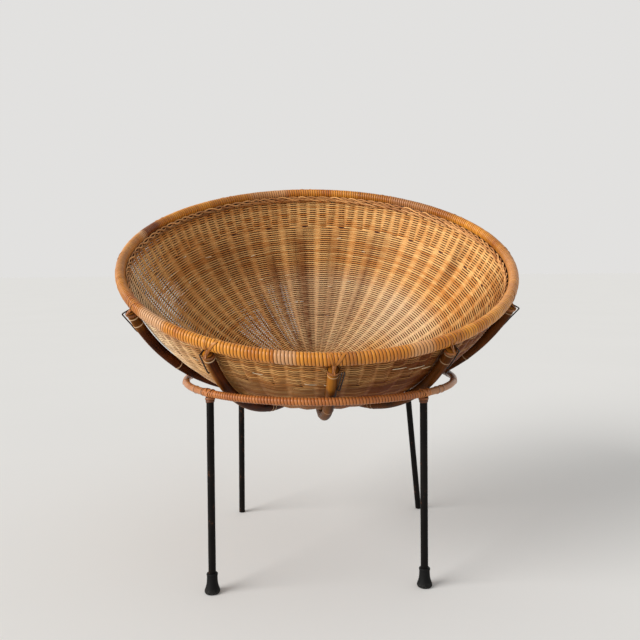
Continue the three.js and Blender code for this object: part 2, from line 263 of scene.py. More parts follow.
class CaneWork:
    """Canes swept along paths and gathered into one mesh.

    Each corner has a UV, with the length along the cane in centimetres and the share of the way
    round it (a quarter is the outer face), and the values tint, stain (which also holds painted
    shade), pale and side.
    """

    OUTER_SHARE = 0.25

    def __init__(self, sides: int, squareness: float = 1.0) -> None:
        """Sets up the section.

        Args:
            sides: Faces round a cane.
            squareness: 1 for an oval section, less for a strip with full edges.
        """
        self.sides = sides
        share = np.arange(sides) / sides
        wave = np.stack([np.cos(TURN * share), np.sin(TURN * share)])
        self.across, self.out = np.sign(wave) * np.abs(wave) ** squareness
        self.count = 0
        self.corners: list[Array] = []
        self.faces: list[list[int]] = []
        self.uvs: list[Array] = []
        self.values: dict[str, list[Array]] = {"tint": [], "stain": [], "pale": [], "side": []}

    def sweep(self, path: Array, outward: Array, width: Array | float, thickness: Array | float,
              closed: bool = False, tint: Array | float = 0.5, stain: Array | float = 0.0,
              pale: Array | float = 0.0, side: Array | float = 1.0) -> None:
        """Adds one cane.

        Args:
            path: The middle of the cane.
            outward: The way its outer face looks, at each point or all along.
            width: Its width across.
            thickness: Its thickness, out.
            closed: Whether it runs back to its start.
            tint: From 0, dark, to 1, light.
            stain: From 0, clean, to 1, stained; some pieces use it for painted shade.
            pale: From 0 to 1, where the colour has worn off.
            side: 1 where its outer face is open to the light, -1 where its inner face is, and 0
                where both are.
        """
        steps = len(path)
        outward = np.broadcast_to(outward, path.shape)
        if closed:
            along = unit(np.roll(path, -1, 0) - np.roll(path, 1, 0))
        else:
            along = unit(np.gradient(path, axis=0))
        across = unit(np.cross(along, outward))
        out = np.cross(across, along)
        half_width = np.broadcast_to(np.asarray(width) / 2, steps)[:, None, None]
        half_thickness = np.broadcast_to(np.asarray(thickness) / 2, steps)[:, None, None]
        ring = (path[:, None] + half_width * self.across[None, :, None] * across[:, None]
                + half_thickness * self.out[None, :, None] * out[:, None])
        self.corners.append(ring.reshape(-1, 3))
        after = path[(np.arange(steps) + 1) % steps]
        run = np.concatenate([[0.0], np.cumsum(np.linalg.norm(after - path, axis=1))]) / CENTIMETRE
        here = np.arange(steps if closed else steps - 1)
        there = (here + 1) % steps
        face = np.arange(self.sides)
        beside = (face + 1) % self.sides
        start = self.count + here[:, None] * self.sides
        end = self.count + there[:, None] * self.sides
        quads = np.stack([start + face, end + face, end + beside, start + beside], -1)
        self.faces.extend(quads.reshape(-1, 4).tolist())
        u = np.stack([run[here], run[here + 1], run[here + 1], run[here]], -1)
        v = np.stack([face, face, face + 1, face + 1], -1) / self.sides
        shape = (len(here), self.sides, 4)
        uv = np.stack([np.broadcast_to(u[:, None], shape), np.broadcast_to(v[None], shape)], -1)
        self.uvs.append(uv.reshape(-1, 2))
        if not closed:
            first = list(range(self.count, self.count + self.sides))
            last = self.count + (steps - 1) * self.sides
            self.faces.extend([first, [last + k for k in reversed(range(self.sides))]])
            self.uvs.append(np.full((2 * self.sides, 2), self.OUTER_SHARE))
        looks = {"tint": tint, "stain": stain, "pale": pale, "side": side}
        for name, value in looks.items():
            self.values[name].append(np.repeat(np.broadcast_to(value, steps), self.sides))
        self.count += steps * self.sides

    def settle(self, name: str, material: Material, body: Body, slot: Slot, *nodes: str) -> None:
        """Makes the mesh and puts it on its body.

        Args:
            name: The piece's name.
            material: Its finish.
            body: The body that it moves with.
            slot: The record's slot that its finish belongs to.
            *nodes: The CAD nodes that it stands for.
        """
        mesh = bpy.data.meshes.new(name)
        mesh.from_pydata(np.vstack(self.corners), [], self.faces)
        mesh.polygons.foreach_set("use_smooth", np.ones(len(mesh.polygons), bool))
        layer = mesh.uv_layers.new(name="cane")
        layer.data.foreach_set("uv", np.vstack(self.uvs).astype(np.float32).ravel())
        for key, parts in self.values.items():
            attribute = mesh.attributes.new(key, "FLOAT", "POINT")
            attribute.data.foreach_set("value", np.concatenate(parts).astype(np.float32))
        mesh.materials.append(material)
        made = bpy.data.objects.new(name, mesh)
        bpy.context.scene.collection.objects.link(made)
        settle(made, body, slot, *nodes)


class Number:
    """A number in a shader. Sums on it add Math nodes."""

    def __init__(self, shader: "Shader", socket: Socket) -> None:
        """Wraps an output socket."""
        self.shader = shader
        self.socket = socket

    def _math(self, operation: str, *values: "Number | float") -> "Number":
        """Adds one Math node."""
        node = self.shader.node("ShaderNodeMath", {"operation": operation}, *values)
        return Number(self.shader, node.outputs[0])

    def __add__(self, other: "Number | float") -> "Number":
        """The sum."""
        return self._math("ADD", self, other)

    __radd__ = __add__

    def __sub__(self, other: "Number | float") -> "Number":
        """The difference."""
        return self._math("SUBTRACT", self, other)

    def __rsub__(self, other: float) -> "Number":
        """The difference from a plain number."""
        return self._math("SUBTRACT", other, self)

    def __mul__(self, other: "Number | float") -> "Number":
        """The product."""
        return self._math("MULTIPLY", self, other)

    __rmul__ = __mul__

    def sine(self) -> "Number":
        """The sine."""
        return self._math("SINE", self)

    def clamp(self) -> "Number":
        """The number kept between 0 and 1."""
        return Number(self.shader, self.shader.node("ShaderNodeClamp", {}, self).outputs[0])

    def rise(self, low: float, high: float) -> "Number":
        """0 below low, 1 above high and smooth between.

        Args:
            low: Where it leaves 0.
            high: Where it comes to 1.

        Returns:
            The rising number.
        """
        settings = {"interpolation_type": "SMOOTHSTEP"}
        node = self.shader.node("ShaderNodeMapRange", settings, self, low, high, 0.0, 1.0)
        return Number(self.shader, node.outputs[0])


Input = Number | float | tuple | Socket | None


class Shader:
    """A material's nodes, with one Principled shader."""

    def __init__(self, name: str) -> None:
        """Starts a material with a bare Principled shader.

        Args:
            name: The material's name.
        """
        self.material = bpy.data.materials.new(name)
        self.material.use_nodes = True
        self.tree = self.material.node_tree
        self.tree.nodes.clear()
        self.surface = self.node("ShaderNodeBsdfPrincipled", {})
        output = self.node("ShaderNodeOutputMaterial", {})
        self.tree.links.new(self.surface.outputs[0], output.inputs["Surface"])

    def node(self, kind: str, settings: dict[str, object], *values: Input,
             **named: Input) -> bpy.types.Node:
        """Adds a node.

        Args:
            kind: The node's type.
            settings: Its own settings, which are set first.
            *values: What goes into its sockets, in order; None leaves one alone.
            **named: What goes into sockets by name, with _ for a space.

        Returns:
            The new node.
        """
        node = self.tree.nodes.new(kind)
        for key, value in settings.items():
            setattr(node, key, value)
        sockets = [node.inputs[i] for i in range(len(values))]
        sockets += [node.inputs[key.replace("_", " ")] for key in named]
        for socket, value in zip(sockets, (*values, *named.values())):
            self.feed(socket, value)
        return node

    def feed(self, socket: Socket, value: Input) -> None:
        """Puts a value or a link into a socket.

        Args:
            socket: The socket.
            value: What goes in; None leaves it alone.
        """
        if isinstance(value, Number):
            self.tree.links.new(value.socket, socket)
        elif isinstance(value, Socket):
            self.tree.links.new(value, socket)
        elif value is not None:
            needs_alpha = isinstance(value, tuple) and len(socket.default_value) > len(value)
            socket.default_value = (*value, 1.0) if needs_alpha else value

    def set(self, **named: Input) -> None:
        """Puts values or links into the Principled shader's sockets."""
        for key, value in named.items():
            self.feed(self.surface.inputs[key.replace("_", " ")], value)

    def attribute(self, name: str) -> Number:
        """A value stored on the mesh."""
        node = self.node("ShaderNodeAttribute", {"attribute_name": name})
        return Number(self, node.outputs["Fac"])

    def object_place(self) -> Socket:
        """The place on the piece, in metres."""
        return self.node("ShaderNodeTexCoord", {}).outputs["Object"]

    def cane_place(self) -> tuple[Number, Number]:
        """The length along a cane in centimetres, and the share of the way round it."""
        uv = self.node("ShaderNodeUVMap", {"uv_map": "cane"}).outputs[0]
        return self.parts(uv)[:2]

    def parts(self, vector: Socket) -> tuple[Number, ...]:
        """A vector's three numbers."""
        split = self.node("ShaderNodeSeparateXYZ", {}, vector)
        return tuple(Number(self, output) for output in split.outputs)

    def vector(self, x: Input, y: Input, z: Input) -> Socket:
        """Three numbers as one vector."""
        return self.node("ShaderNodeCombineXYZ", {}, x, y, z).outputs[0]

    def noise(self, vector: Socket, scale: float, detail: float = 2.0) -> Number:
        """Soft noise, from 0 to 1."""
        node = self.node("ShaderNodeTexNoise", {}, Vector=vector, Scale=scale, Detail=detail)
        return Number(self, node.outputs["Fac"])

    def mix(self, share: Input, low: Input, high: Input) -> Socket:
        """A colour between two colours.

        Args:
            share: 0 for the first colour, 1 for the second.
            low: The first colour.
            high: The second colour.

        Returns:
            The socket of the mixed colour.
        """
        node = self.node("ShaderNodeMix", {"data_type": "RGBA"})
        self.feed(node.inputs["Factor"], share)
        colours = [socket for socket in node.inputs if socket.type == "RGBA"]
        self.feed(colours[0], low)
        self.feed(colours[1], high)
        return next(socket for socket in node.outputs if socket.type == "RGBA")

    def bump(self, height: Input, depth: float) -> Socket:
        """Normals that follow a height, with its depth in metres."""
        node = self.node("ShaderNodeBump", {}, Height=height, Distance=depth)
        return node.outputs[0]


@dataclass(frozen=True)
class CaneFinish:
    """Cane: fibres along it, canes that differ, blotches, and painted shade in the grooves where canes
    meet.
    """

    name: str
    dark: Colour
    light: Colour
    stained: Colour
    faded: Colour
    roughness: float = 0.5
    coat: float = 0.0
    groove_shade_share: float = 0.6
    blotch_scale: float = 16.0
    blotch_share: float = 0.5
    tint_share: float = 0.5
    fibre_share: float = 0.25
    fibre_depth: float = 0.12 * MM
    specular: float = 0.3
    both_faces: bool = False
    open_from: float = -0.3
    open_width: float = 1.05
    streaks: float = 0.0
    fibre_stretch: tuple[float, float, float] = (0.9, 26.0, 31.0)
    streak_stretch: tuple[float, float] = (0.16, 40.0)
    coat_roughness: float = 0.3
    shadow_share: float = 0.25

    def make(self) -> Material:
        """Builds the material.

        Returns:
            The material.
        """
        shader = Shader(self.name)
        place = shader.object_place()
        along, around = shader.cane_place()
        tint = shader.attribute("tint")
        lengthwise, crosswise, between_canes = self.fibre_stretch
        strands = shader.vector(along * lengthwise, around * crosswise, tint * between_canes)
        fibre = shader.noise(strands, 1.0, 3.0)
        blotch = shader.noise(place, self.blotch_scale, 3.0).rise(0.3, 0.7)
        share = (tint - 0.5) * self.tint_share + (blotch - 0.5) * self.blotch_share
        share = (share + (fibre - 0.5) * self.fibre_share + 0.5).clamp()
        colour = shader.mix(share, self.dark, self.light)
        colour = shader.mix(shader.attribute("pale").clamp(), colour, self.faded)
        colour = shader.mix(shader.attribute("stain").clamp(), colour, self.stained)
        facing = (around * TURN).sine()
        outer = facing.rise(self.open_from, self.open_from + self.open_width)
        if self.both_faces:
            colour, outer = self.streaked_and_shaded(shader, colour, facing, along, tint)
        # Painted shade: faces turned away from the light and the grooves between canes are mixed
        # towards a dark shadow colour.
        groove_shade = (1.0 - outer) * self.groove_shade_share
        shadow = tuple(value * self.shadow_share for value in self.dark)
        shader.set(Base_Color=shader.mix(groove_shade, colour, shadow), Coat_Weight=self.coat,
                   Roughness=fibre * 0.2 + (self.roughness - 0.1),
                   Coat_Roughness=self.coat_roughness, Specular_IOR_Level=self.specular,
                   Normal=shader.bump(fibre, self.fibre_depth))
        return shader.material

    def streaked_and_shaded(self, shader: Shader, colour: Input, facing: Number, along: Number,
                  tint: Number) -> tuple[Input, Number]:
        """Streaks the faces that look outwards, and finds which faces of a wall are open to the light;
        the others get painted shade.

        Args:
            shader: The material's shader.
            colour: The colour so far.
            facing: 1 on a cane's outer face, -1 on its inner face.
            along: The length along the cane.
            tint: The cane's own lightness.

        Returns:
            The streaked colour, and 1 where a face is open to the light.
        """
        lengthwise, between_canes = self.streak_stretch
        flow = shader.vector(along * lengthwise, tint * between_canes, 0.0)
        streak = shader.noise(flow, 1.0).rise(0.4, 0.6)
        streak = facing.rise(-0.1, 0.3) * streak * self.streaks
        # Painted shade: a face that lies behind the stakes, or turns to a strand's flank, counts as
        # closed to the light.
        shown = (facing * shader.attribute("side")).rise(-0.95, -0.22)
        flank_light = (facing * facing).rise(0.02, 0.6)
        return shader.mix(streak, colour, self.stained), shown * flank_light


@dataclass(frozen=True)
class PoleFinish:
    """A cane pole under dark varnish, amber where the varnish is thin and in a painted highlight, with
    pale rings.
    """

    name: str
    dark: Colour
    light: Colour
    bare: Colour
    ring: Colour
    roughness: float = 0.36
    coat: float = 0.03
    specular: float = 0.03
    streak_stretch: tuple[float, float] = (0.25, 22.0)
    streak_depth: float = 0.15 * MM
    blotch_scale: float = 22.0

    def make(self) -> Material:
        """Builds the material. The mesh marks rings at its joints, and the amber where varnish is thin
        and where a highlight is painted on one flank.

        Returns:
            The material.
        """
        shader = Shader(self.name)
        place = shader.object_place()
        along, around = shader.cane_place()
        lengthwise, crosswise = self.streak_stretch
        streak = shader.noise(shader.vector(along * lengthwise, around * crosswise, 0.0), 1.0, 3.0)
        blotch = shader.noise(place, self.blotch_scale, 3.0)
        share = (streak - 0.5) * 0.9 + (blotch - 0.5) * 1.2
        colour = shader.mix((share + 0.25).clamp(), self.dark, self.light)
        bare = shader.attribute("bare") * (share * 0.6 + 1.0)
        colour = shader.mix(bare.clamp(), colour, self.bare)
        ring = shader.attribute("ring") * (blotch * 0.8 + 0.5)
        colour = shader.mix(ring.clamp(), colour, self.ring)
        shader.set(Base_Color=colour, Roughness=streak * 0.22 + self.roughness,
                   Coat_Weight=self.coat, Coat_Roughness=0.15, Specular_IOR_Level=self.specular,
                   Normal=shader.bump(streak, self.streak_depth))
        return shader.material


@dataclass(frozen=True)
class PaintFinish:
    """Satin black paint on steel, chipped to rusty brown."""

    name: str
    paint: Colour
    rust: Colour
    worn_share: float = 2.1
    chip_depth: float = 0.12 * MM

    def make(self) -> Material:
        """Builds the material.

        Returns:
            The material.
        """
        shader = Shader(self.name)
        place = shader.object_place()
        wear = shader.noise(place, 130.0, 6.0)
        cloud = shader.noise(place, 24.0, 2.0)
        chip = (wear + cloud * 0.5).rise(0.88, 0.98)
        worn = tuple(self.worn_share * value for value in self.paint)
        colour = shader.mix(cloud.rise(0.3, 0.8), self.paint, worn)
        shader.set(Base_Color=shader.mix(chip, colour, self.rust), Specular_IOR_Level=0.1,
                   Roughness=chip * 0.3 + cloud * 0.15 + 0.4,
                   Normal=shader.bump(wear * 0.4 - chip * 0.6, self.chip_depth))
        return shader.material


@dataclass(frozen=True)
class RubberFinish:
    """Dull rubber with floor dust towards its foot."""

    name: str
    rubber: Colour
    dust: Colour
    dust_height: float = 12 * MM

    def make(self) -> Material:
        """Builds the material.

        Returns:
            The material.
        """
        shader = Shader(self.name)
        place = shader.object_place()
        grain = shader.noise(place, 420.0, 3.0)
        height = shader.parts(place)[2]
        dusty = (1.0 - height.rise(0.0, self.dust_height)) * grain.rise(0.35, 0.75)
        shader.set(Base_Color=shader.mix(dusty * 0.6, self.rubber, self.dust))
        shader.set(Roughness=grain * 0.25 + 0.5, Normal=shader.bump(grain, 0.1 * MM),
                   Specular_IOR_Level=0.12)
        return shader.material


@dataclass(frozen=True)
class WireFinish:
    """Dull steel wire with brown spots."""

    name: str
    steel: Colour
    rust: Colour

    def make(self) -> Material:
        """Builds the material.

        Returns:
            The material.
        """
        shader = Shader(self.name)
        spots = shader.noise(shader.object_place(), 260.0, 4.0).rise(0.5, 0.66)
        shader.set(Base_Color=shader.mix(spots, self.steel, self.rust))
        shader.set(Metallic=1.0 - spots * 0.7, Roughness=spots * 0.35 + 0.35)
        return shader.material


@dataclass(frozen=True)
class PlainFinish:
    """A matt, paper-like colour, for the floor."""

    name: str
    colour: Colour

    def make(self) -> Material:
        """Builds the material.

        Returns:
            The material.
        """
        shader = Shader(self.name)
        cloud = shader.noise(shader.object_place(), 1.3, 2.0)
        darker = tuple(0.97 * value for value in self.colour)
        shader.set(Base_Color=shader.mix(cloud, darker, self.colour), Roughness=0.9,
                   Specular_IOR_Level=0.0)
        return shader.material


def made_from(look: CaneFinish | PoleFinish | PaintFinish | RubberFinish | WireFinish) -> object:
    """A field that holds the material of a finish."""
    return field(default_factory=look.make)


@dataclass
class Finishes:
    """Every material of the chair."""

    # The weave's stained colour paints real stains and also the shade on the front outside.
    weave: Material = made_from(CaneFinish(
        "woven_cane", dark=(0.66, 0.27, 0.065), light=(0.94, 0.56, 0.215),
        stained=(0.15, 0.032, 0.004), faded=(0.94, 0.77, 0.52), roughness=0.44, groove_shade_share=0.9,
        blotch_scale=9.0, blotch_share=0.35, tint_share=1.0, fibre_share=0.5, both_faces=True,
        specular=0.12, streaks=0.5))
    # The stakes are darker than the rows, partly stain and partly painted shade for stakes seen deep
    # between rows; the stained colour is the lining's painted shade.
    stake_and_shade: Material = made_from(CaneFinish(
        "stake_and_shade_cane", dark=(0.2, 0.075, 0.025), light=(0.4, 0.17, 0.055),
        stained=(0.1, 0.03, 0.018), faded=(0.5, 0.36, 0.2), roughness=0.55, both_faces=True))
    rim: Material = made_from(CaneFinish(
        "rim_cane", dark=(0.43, 0.115, 0.012), light=(0.88, 0.37, 0.045),
        stained=(0.19, 0.047, 0.012), faded=(0.68, 0.38, 0.19), roughness=0.34, coat=0.15,
        groove_shade_share=0.94, blotch_scale=12.0, specular=0.26, open_from=0.0))
    ring: Material = made_from(CaneFinish(
        "ring_cane", dark=(0.31, 0.085, 0.024), light=(0.6, 0.225, 0.06),
        stained=(0.09, 0.03, 0.014), faded=(0.42, 0.24, 0.14), roughness=0.36, coat=0.12,
        groove_shade_share=0.92, blotch_scale=14.0, specular=0.24, open_from=-0.1))
    # Its stained colour paints the shade under the seat and the dark joints.
    sheath: Material = made_from(CaneFinish(
        "ring_sheath_cane", dark=(0.3, 0.095, 0.03), light=(0.62, 0.26, 0.08),
        stained=(0.05, 0.02, 0.01), faded=(0.46, 0.22, 0.1), roughness=0.34, coat=0.12,
        groove_shade_share=0.0, blotch_scale=20.0, specular=0.22))
    # The border's stained colour is near black; at full strength it paints the shade strip behind the
    # twisted pair.
    border: Material = made_from(CaneFinish(
        "border_cane_and_shade", dark=(0.34, 0.12, 0.035), light=(0.86, 0.44, 0.16),
        stained=(0.03, 0.01, 0.005), faded=(0.9, 0.6, 0.32), roughness=0.46, groove_shade_share=0.9,
        tint_share=0.9, specular=0.2))
    binding: Material = made_from(CaneFinish(
        "binding_cane", dark=(0.1, 0.035, 0.01), light=(0.36, 0.16, 0.045),
        stained=(0.08, 0.026, 0.01), faded=(0.8, 0.58, 0.36), roughness=0.4, specular=0.2))
    pole: Material = made_from(PoleFinish(
        "varnished_pole", dark=(0.018, 0.004, 0.0012), light=(0.17, 0.038, 0.005),
        bare=(0.56, 0.21, 0.024), ring=(0.85, 0.6, 0.36)))
    core: Material = made_from(PoleFinish(
        "bare_pole", dark=(0.2, 0.1, 0.04), light=(0.4, 0.22, 0.1), bare=(0.4, 0.22, 0.1),
        ring=(0.5, 0.34, 0.18), roughness=0.5))
    paint: Material = made_from(PaintFinish(
        "worn_paint", paint=(0.0032, 0.0024, 0.002), rust=(0.06, 0.024, 0.011)))
    rubber: Material = made_from(RubberFinish(
        "foot_rubber", rubber=(0.006, 0.006, 0.006), dust=(0.09, 0.088, 0.08)))
    wire: Material = made_from(WireFinish(
        "drawn_wire", steel=(0.05, 0.044, 0.04), rust=(0.07, 0.03, 0.016)))


def deselect() -> None:
    """Leaves object mode ready for the next primitive."""
    if bpy.context.object and bpy.context.object.mode != "OBJECT":
        bpy.ops.object.mode_set(mode="OBJECT")
    bpy.ops.object.select_all(action="DESELECT")


def turned(name: str, outline: Sequence[tuple[float, float]], sides: int) -> Piece:
    """A round solid on +Z, drawn up from a disc by extruding and scaling.

    Args:
        name: The object's name.
        outline: Height and radius of each ring, from the foot up.
        sides: Faces round it.

    Returns:
        The new object, smooth, with its foot at the origin's height.
    """
    deselect()
    low, radius = outline[0]
    bpy.ops.mesh.primitive_circle_add(vertices=sides, radius=radius, fill_type="NGON",
                                      location=(0.0, 0.0, low))
    made = bpy.context.object
    made.name = made.data.name = name
    bpy.ops.object.transform_apply(location=True)
    bpy.ops.object.mode_set(mode="EDIT")
    bpy.ops.mesh.select_all(action="SELECT")
    for height, wide in outline[1:]:
        move = {"value": (0.0, 0.0, height - low)}
        bpy.ops.mesh.extrude_region_move(TRANSFORM_OT_translate=move)
        share = wide / radius
        bpy.ops.transform.resize(value=(share, share, 1.0), center_override=(0.0, 0.0, height))
        low, radius = height, wide
    bpy.ops.mesh.select_all(action="SELECT")
    bpy.ops.mesh.normals_make_consistent(inside=False)
    bpy.ops.object.mode_set(mode="OBJECT")
    bpy.ops.object.shade_smooth_by_angle(angle=SMOOTH_ANGLE)
    return made


def reshape(piece: Piece, place: Callable[[Array], Array]) -> None:
    """Moves every corner of a mesh.

    Args:
        piece: The mesh object.
        place: Gives the corners' new places.
    """
    moved = place(corners_of(piece))
    piece.data.vertices.foreach_set("co", moved.astype(np.float32).ravel())
    piece.data.update()


def face_outwards(piece: Piece) -> None:
    """Turns the faces of a solid outwards.

    Args:
        piece: The closed solid.
    """
    deselect()
    bpy.context.view_layer.objects.active = piece
    piece.select_set(True)
    bpy.ops.object.mode_set(mode="EDIT")
    bpy.ops.mesh.select_all(action="SELECT")
    bpy.ops.mesh.normals_make_consistent(inside=False)
    bpy.ops.object.mode_set(mode="OBJECT")


def set_values(piece: Piece, **values: Array) -> None:
    """Stores values on a mesh's corners.

    Args:
        piece: The mesh object.
        **values: The values by name, one a corner.
    """
    for name, value in values.items():
        attribute = piece.data.attributes.new(name, "FLOAT", "POINT")
        attribute.data.foreach_set("value", value.astype(np.float32))


def wrap_uv(piece: Piece) -> None:
    """Gives a solid the canes' UV: length in centimetres, and share of the way round.

    Args:
        piece: A solid turned about +Z.
    """
    mesh = piece.data
    layer = mesh.uv_layers.new(name="cane")
    for polygon in mesh.polygons:
        corners = [mesh.vertices[mesh.loops[i].vertex_index].co for i in polygon.loop_indices]
        shares = [(math.atan2(co.y, co.x) / TURN) % 1.0 for co in corners]
        wraps = max(shares) - min(shares) > 0.5
        for index, co, share in zip(polygon.loop_indices, corners, shares):
            across = share + 1.0 if wraps and share < 0.5 else share
            layer.data[index].uv = (co.z / CENTIMETRE, across)


@dataclass(frozen=True)
class Patch:
    """A part of the bowl where its canes differ from the rest, such as a stain, in degrees.

    It is full to 0.4 of its half width and gone at 1.4. Its edge is how steeply it ends low and
    high, per radian.
    """

    bearing: float
    half_width: float
    low: float
    high: float
    strength: float
    edge: float = 8.0

    def at(self, bearing: Array, angle: Array) -> Array:
        """How much the canes differ at places on the bowl.

        Args:
            bearing: The places' bearings.
            angle: Their angles up the bowl.

        Returns:
            The patch's strength there, 0 beyond its edges.
        """
        away = np.abs(turned_from(bearing, self.bearing * DEGREE))
        foot = np.clip((angle - self.low * DEGREE) * self.edge, 0.0, 1.0)
        head = np.clip((self.high * DEGREE - angle) * self.edge, 0.0, 1.0)
        across = fading_mark(away, self.half_width * DEGREE, 1.4)
        return self.strength * across * foot * head


@dataclass(frozen=True)
class Stretch:
    """A stretch of the rim that differs from the rest, in degrees, falling off at its edges."""

    middle: float
    half_width: float
    strength: float = 1.0
    edge: float = 2.0

    def at(self, bearing: Array) -> Array:
        """How much the rim differs at bearings."""
        away = np.abs(turned_from(bearing, self.middle * DEGREE)) / DEGREE
        return self.strength * np.clip((self.half_width - away) / self.edge + 0.5, 0.0, 1.0)


@dataclass
class WovenBowl:
    """The bowl: round canes woven in and out between paired stakes that part near the rim."""

    place: BowlPlace
    finishes: Finishes
    row_pitch: float = 2.625 * MM
    strand_height: float = 3.6 * MM
    strand_thickness: float = 2.95 * MM
    stake_width: float = 2.6 * MM
    stake_thickness: float = 1.6 * MM
    stake_count: int = 48
    hub_count: int = 12
    hub_angle: float = 8.0 * DEGREE
    start_angle: float = 0.45 * DEGREE
    fork_angle: float = 59.5 * DEGREE
    fork_run: float = 6.0 * DEGREE
    stake_steps: int = 56
    steps: int = 4
    row_bands: tuple[float, float] = (0.5, 0.78)
    row_drift: float = 0.07 * MM
    wave_power: float = 1.7
    # A thin dark lining paints the shade in the gaps between rows.
    shade_lining_steps: int = 96
    shade_lining_reach: float = 1.5
    shade_lining_thickness: float = 0.4 * MM
    loose_ends: int = 9
    end_lift: float = 1.3 * MM
    end_widths: tuple[float, float] = (3.0 * MM, 1.4 * MM)
    end_thickness: float = 1.0 * MM
    stains: tuple[Patch, ...] = (
        Patch(-173, 2.6, 8, 62, 0.8),
        Patch(-158.5, 2.2, 8, 56, 0.65),
        Patch(-148, 2.2, 8, 40, 0.6),
        Patch(172, 2.0, 12, 62, 0.5),
        Patch(156, 1.9, 10, 64, 0.55),
        Patch(150.5, 1.4, 46, 66, 0.4),
        Patch(116, 2.6, 50, 69, 0.5),
        Patch(-138, 15.0, 42, 62, 0.3),
        Patch(-170, 24.0, 2, 20, 0.25),
        # The last three are painted shade, not stains: they darken the front outside below the rim and
        # above the ring, most on the right.
        Patch(46, 38.0, 22, 76, 1.2),
        Patch(-6, 24.0, 26, 63, 0.5),
        Patch(-24, 16.0, 24, 76, 0.22),
    )
    faded: tuple[Patch, ...] = (
        Patch(110, 20.0, 22, 46, 0.45),
        Patch(134, 10.0, 14, 46, 0.25),
        Patch(172, 40.0, 8, 48, 0.4),
        # The patch at -62 degrees is painted light: it lightens the outside left, where the window
        # light falls.
        Patch(-62, 22.0, 26, 74, 0.8),
    )
    # Rows are thinner where this is above 0 and fuller below; the narrow ones are single rows
    loose: tuple[Patch, ...] = (
        Patch(-97, 15.0, 44, 61, 0.24),
        Patch(-128, 17.0, 13, 34, 0.24),
        Patch(90, 74.0, 0, 80, -0.13),
        Patch(-153.7, 4.4, 42.8, 43.25, 0.5, 2000.0),
        Patch(-169.5, 5.4, 32.4, 32.85, 0.5, 2000.0),
        Patch(175.0, 6.0, 27.1, 27.55, 0.5, 2000.0),
        Patch(151.5, 6.0, 21.6, 22.05, 0.5, 2000.0),
    )
    # The painted-shade lining is left out here
    see_through: tuple[Patch, ...] = (
        Patch(-96, 30.0, 34, 76, 1.0, 4.0),
        Patch(-134, 20.0, 8, 40, 1.0, 4.0),
        Patch(-156, 9.0, 16, 44, 0.8, 4.0),
    )
    # Bearing and angle up the bowl in degrees, and length in millimetres: inside, then outside
    broken: tuple[tuple[float, float, float], ...] = (
        (-129.6, 56.2, 19.0), (-150.3, 52.2, 13.0), (-118.6, 59.6, 13.0), (-113.7, 51.9, 10.0),
        (-150.4, 43.1, 10.0),
    )
    wisps: tuple[tuple[float, float, float], ...] = (
        (21.0, 66.4, 24.0), (26.5, 65.0, 30.0), (30.0, 63.6, 16.0), (-1.6, 62.5, 20.0),
        (3.6, 62.0, 22.0), (-15.0, 65.2, 18.0), (-34.0, 64.0, 14.0),
    )
    random: np.random.Generator = seeded(0)

    def __post_init__(self) -> None:
        """Reads the sphere's size and the weave's edge from the frame."""
        reach, drop = self.place.measure(node_points("woven_bowl"))
        distance = np.hypot(reach, drop)
        self.radius = float((distance.min() + distance.max()) / 2)
        self.edge_angle = float(np.arctan2(reach, drop).max())
        self.swing = (self.stake_thickness + self.strand_thickness) / 2 - 0.15 * MM

    def fork_offset(self, angle: float) -> float:
        """Spreads a pair of stakes.

        Args:
            angle: The angle up the bowl.

        Returns:
            How far each of the two lies from the pair's middle, as a bearing.
        """
        beside = self.stake_width * 0.52 / (self.radius * math.sin(angle))
        apart = TURN / self.stake_count / 4
        share = min(max((angle - self.fork_angle) / self.fork_run, 0.0), 1.0)
        return beside + (apart - beside) * share

    def stakes_at(self, angle: float) -> Array:
        """Finds the stakes that a row passes, fewer near the bottom.

        Args:
            angle: The row's angle up the bowl.

        Returns:
            Their bearings, in order.
        """
        if angle < self.hub_angle:
            return POLE_TURN + np.arange(self.hub_count) * TURN / self.hub_count
        pairs = POLE_TURN + np.arange(self.stake_count) * TURN / self.stake_count
        if angle < self.fork_angle + self.fork_run * 0.25:
            return pairs
        offset = self.fork_offset(angle)
        return np.sort(np.concatenate([pairs - offset, pairs + offset]))

    def tints(self, bearing: Array) -> Array:
        """Shades a row, whose lightness changes where a new cane begins.

        Args:
            bearing: The bearings along the row.

        Returns:
            The lightness at each.
        """
        joins = np.sort(self.random.uniform(0.0, TURN, 5))
        shades = self.random.normal(0.5, 0.3, 6)
        shades[5] = shades[0]
        return shades[np.searchsorted(joins, bearing % TURN)]

    def row(self, work: CaneWork, number: int, angle: float) -> None:
        """Adds one row.

        Args:
            work: The mesh that takes it.
            number: The row's number; odd rows pass the stakes on the other side.
            angle: The row's angle up from the bowl's lowest point.
        """
        stakes = self.stakes_at(angle)
        count = len(stakes)
        index = np.arange(count * self.steps) / self.steps
        bearing = np.interp(index, np.arange(count + 1), np.append(stakes, stakes[0] + TURN))
        wave = np.cos(math.pi * index)
        bulge = np.abs(wave)
        wave = np.sign(wave) * bulge**self.wave_power * (1 if number % 2 else -1)
        phase = self.random.uniform(0.0, TURN, 3)
        drift = sum(np.sin(bearing * turns + start) for turns, start in zip((3, 7, 13), phase))
        height = angle + drift * self.row_drift / self.radius
        path = self.place.point(bearing, height, self.radius + self.swing * wave)
        slack = self.amount(self.loose, bearing, angle)
        spread = 0.93 + 0.09 * bulge + 0.05 * np.sin(bearing * 5 + phase[0]) - slack
        work.sweep(path, self.place.outward(bearing, height), self.strand_height * spread,
                   self.strand_thickness, closed=True, tint=self.tints(bearing), side=wave,
                   stain=self.amount(self.stains, bearing, angle) * self.random.uniform(0.6, 1.2),
                   pale=self.amount(self.faded, bearing, angle))

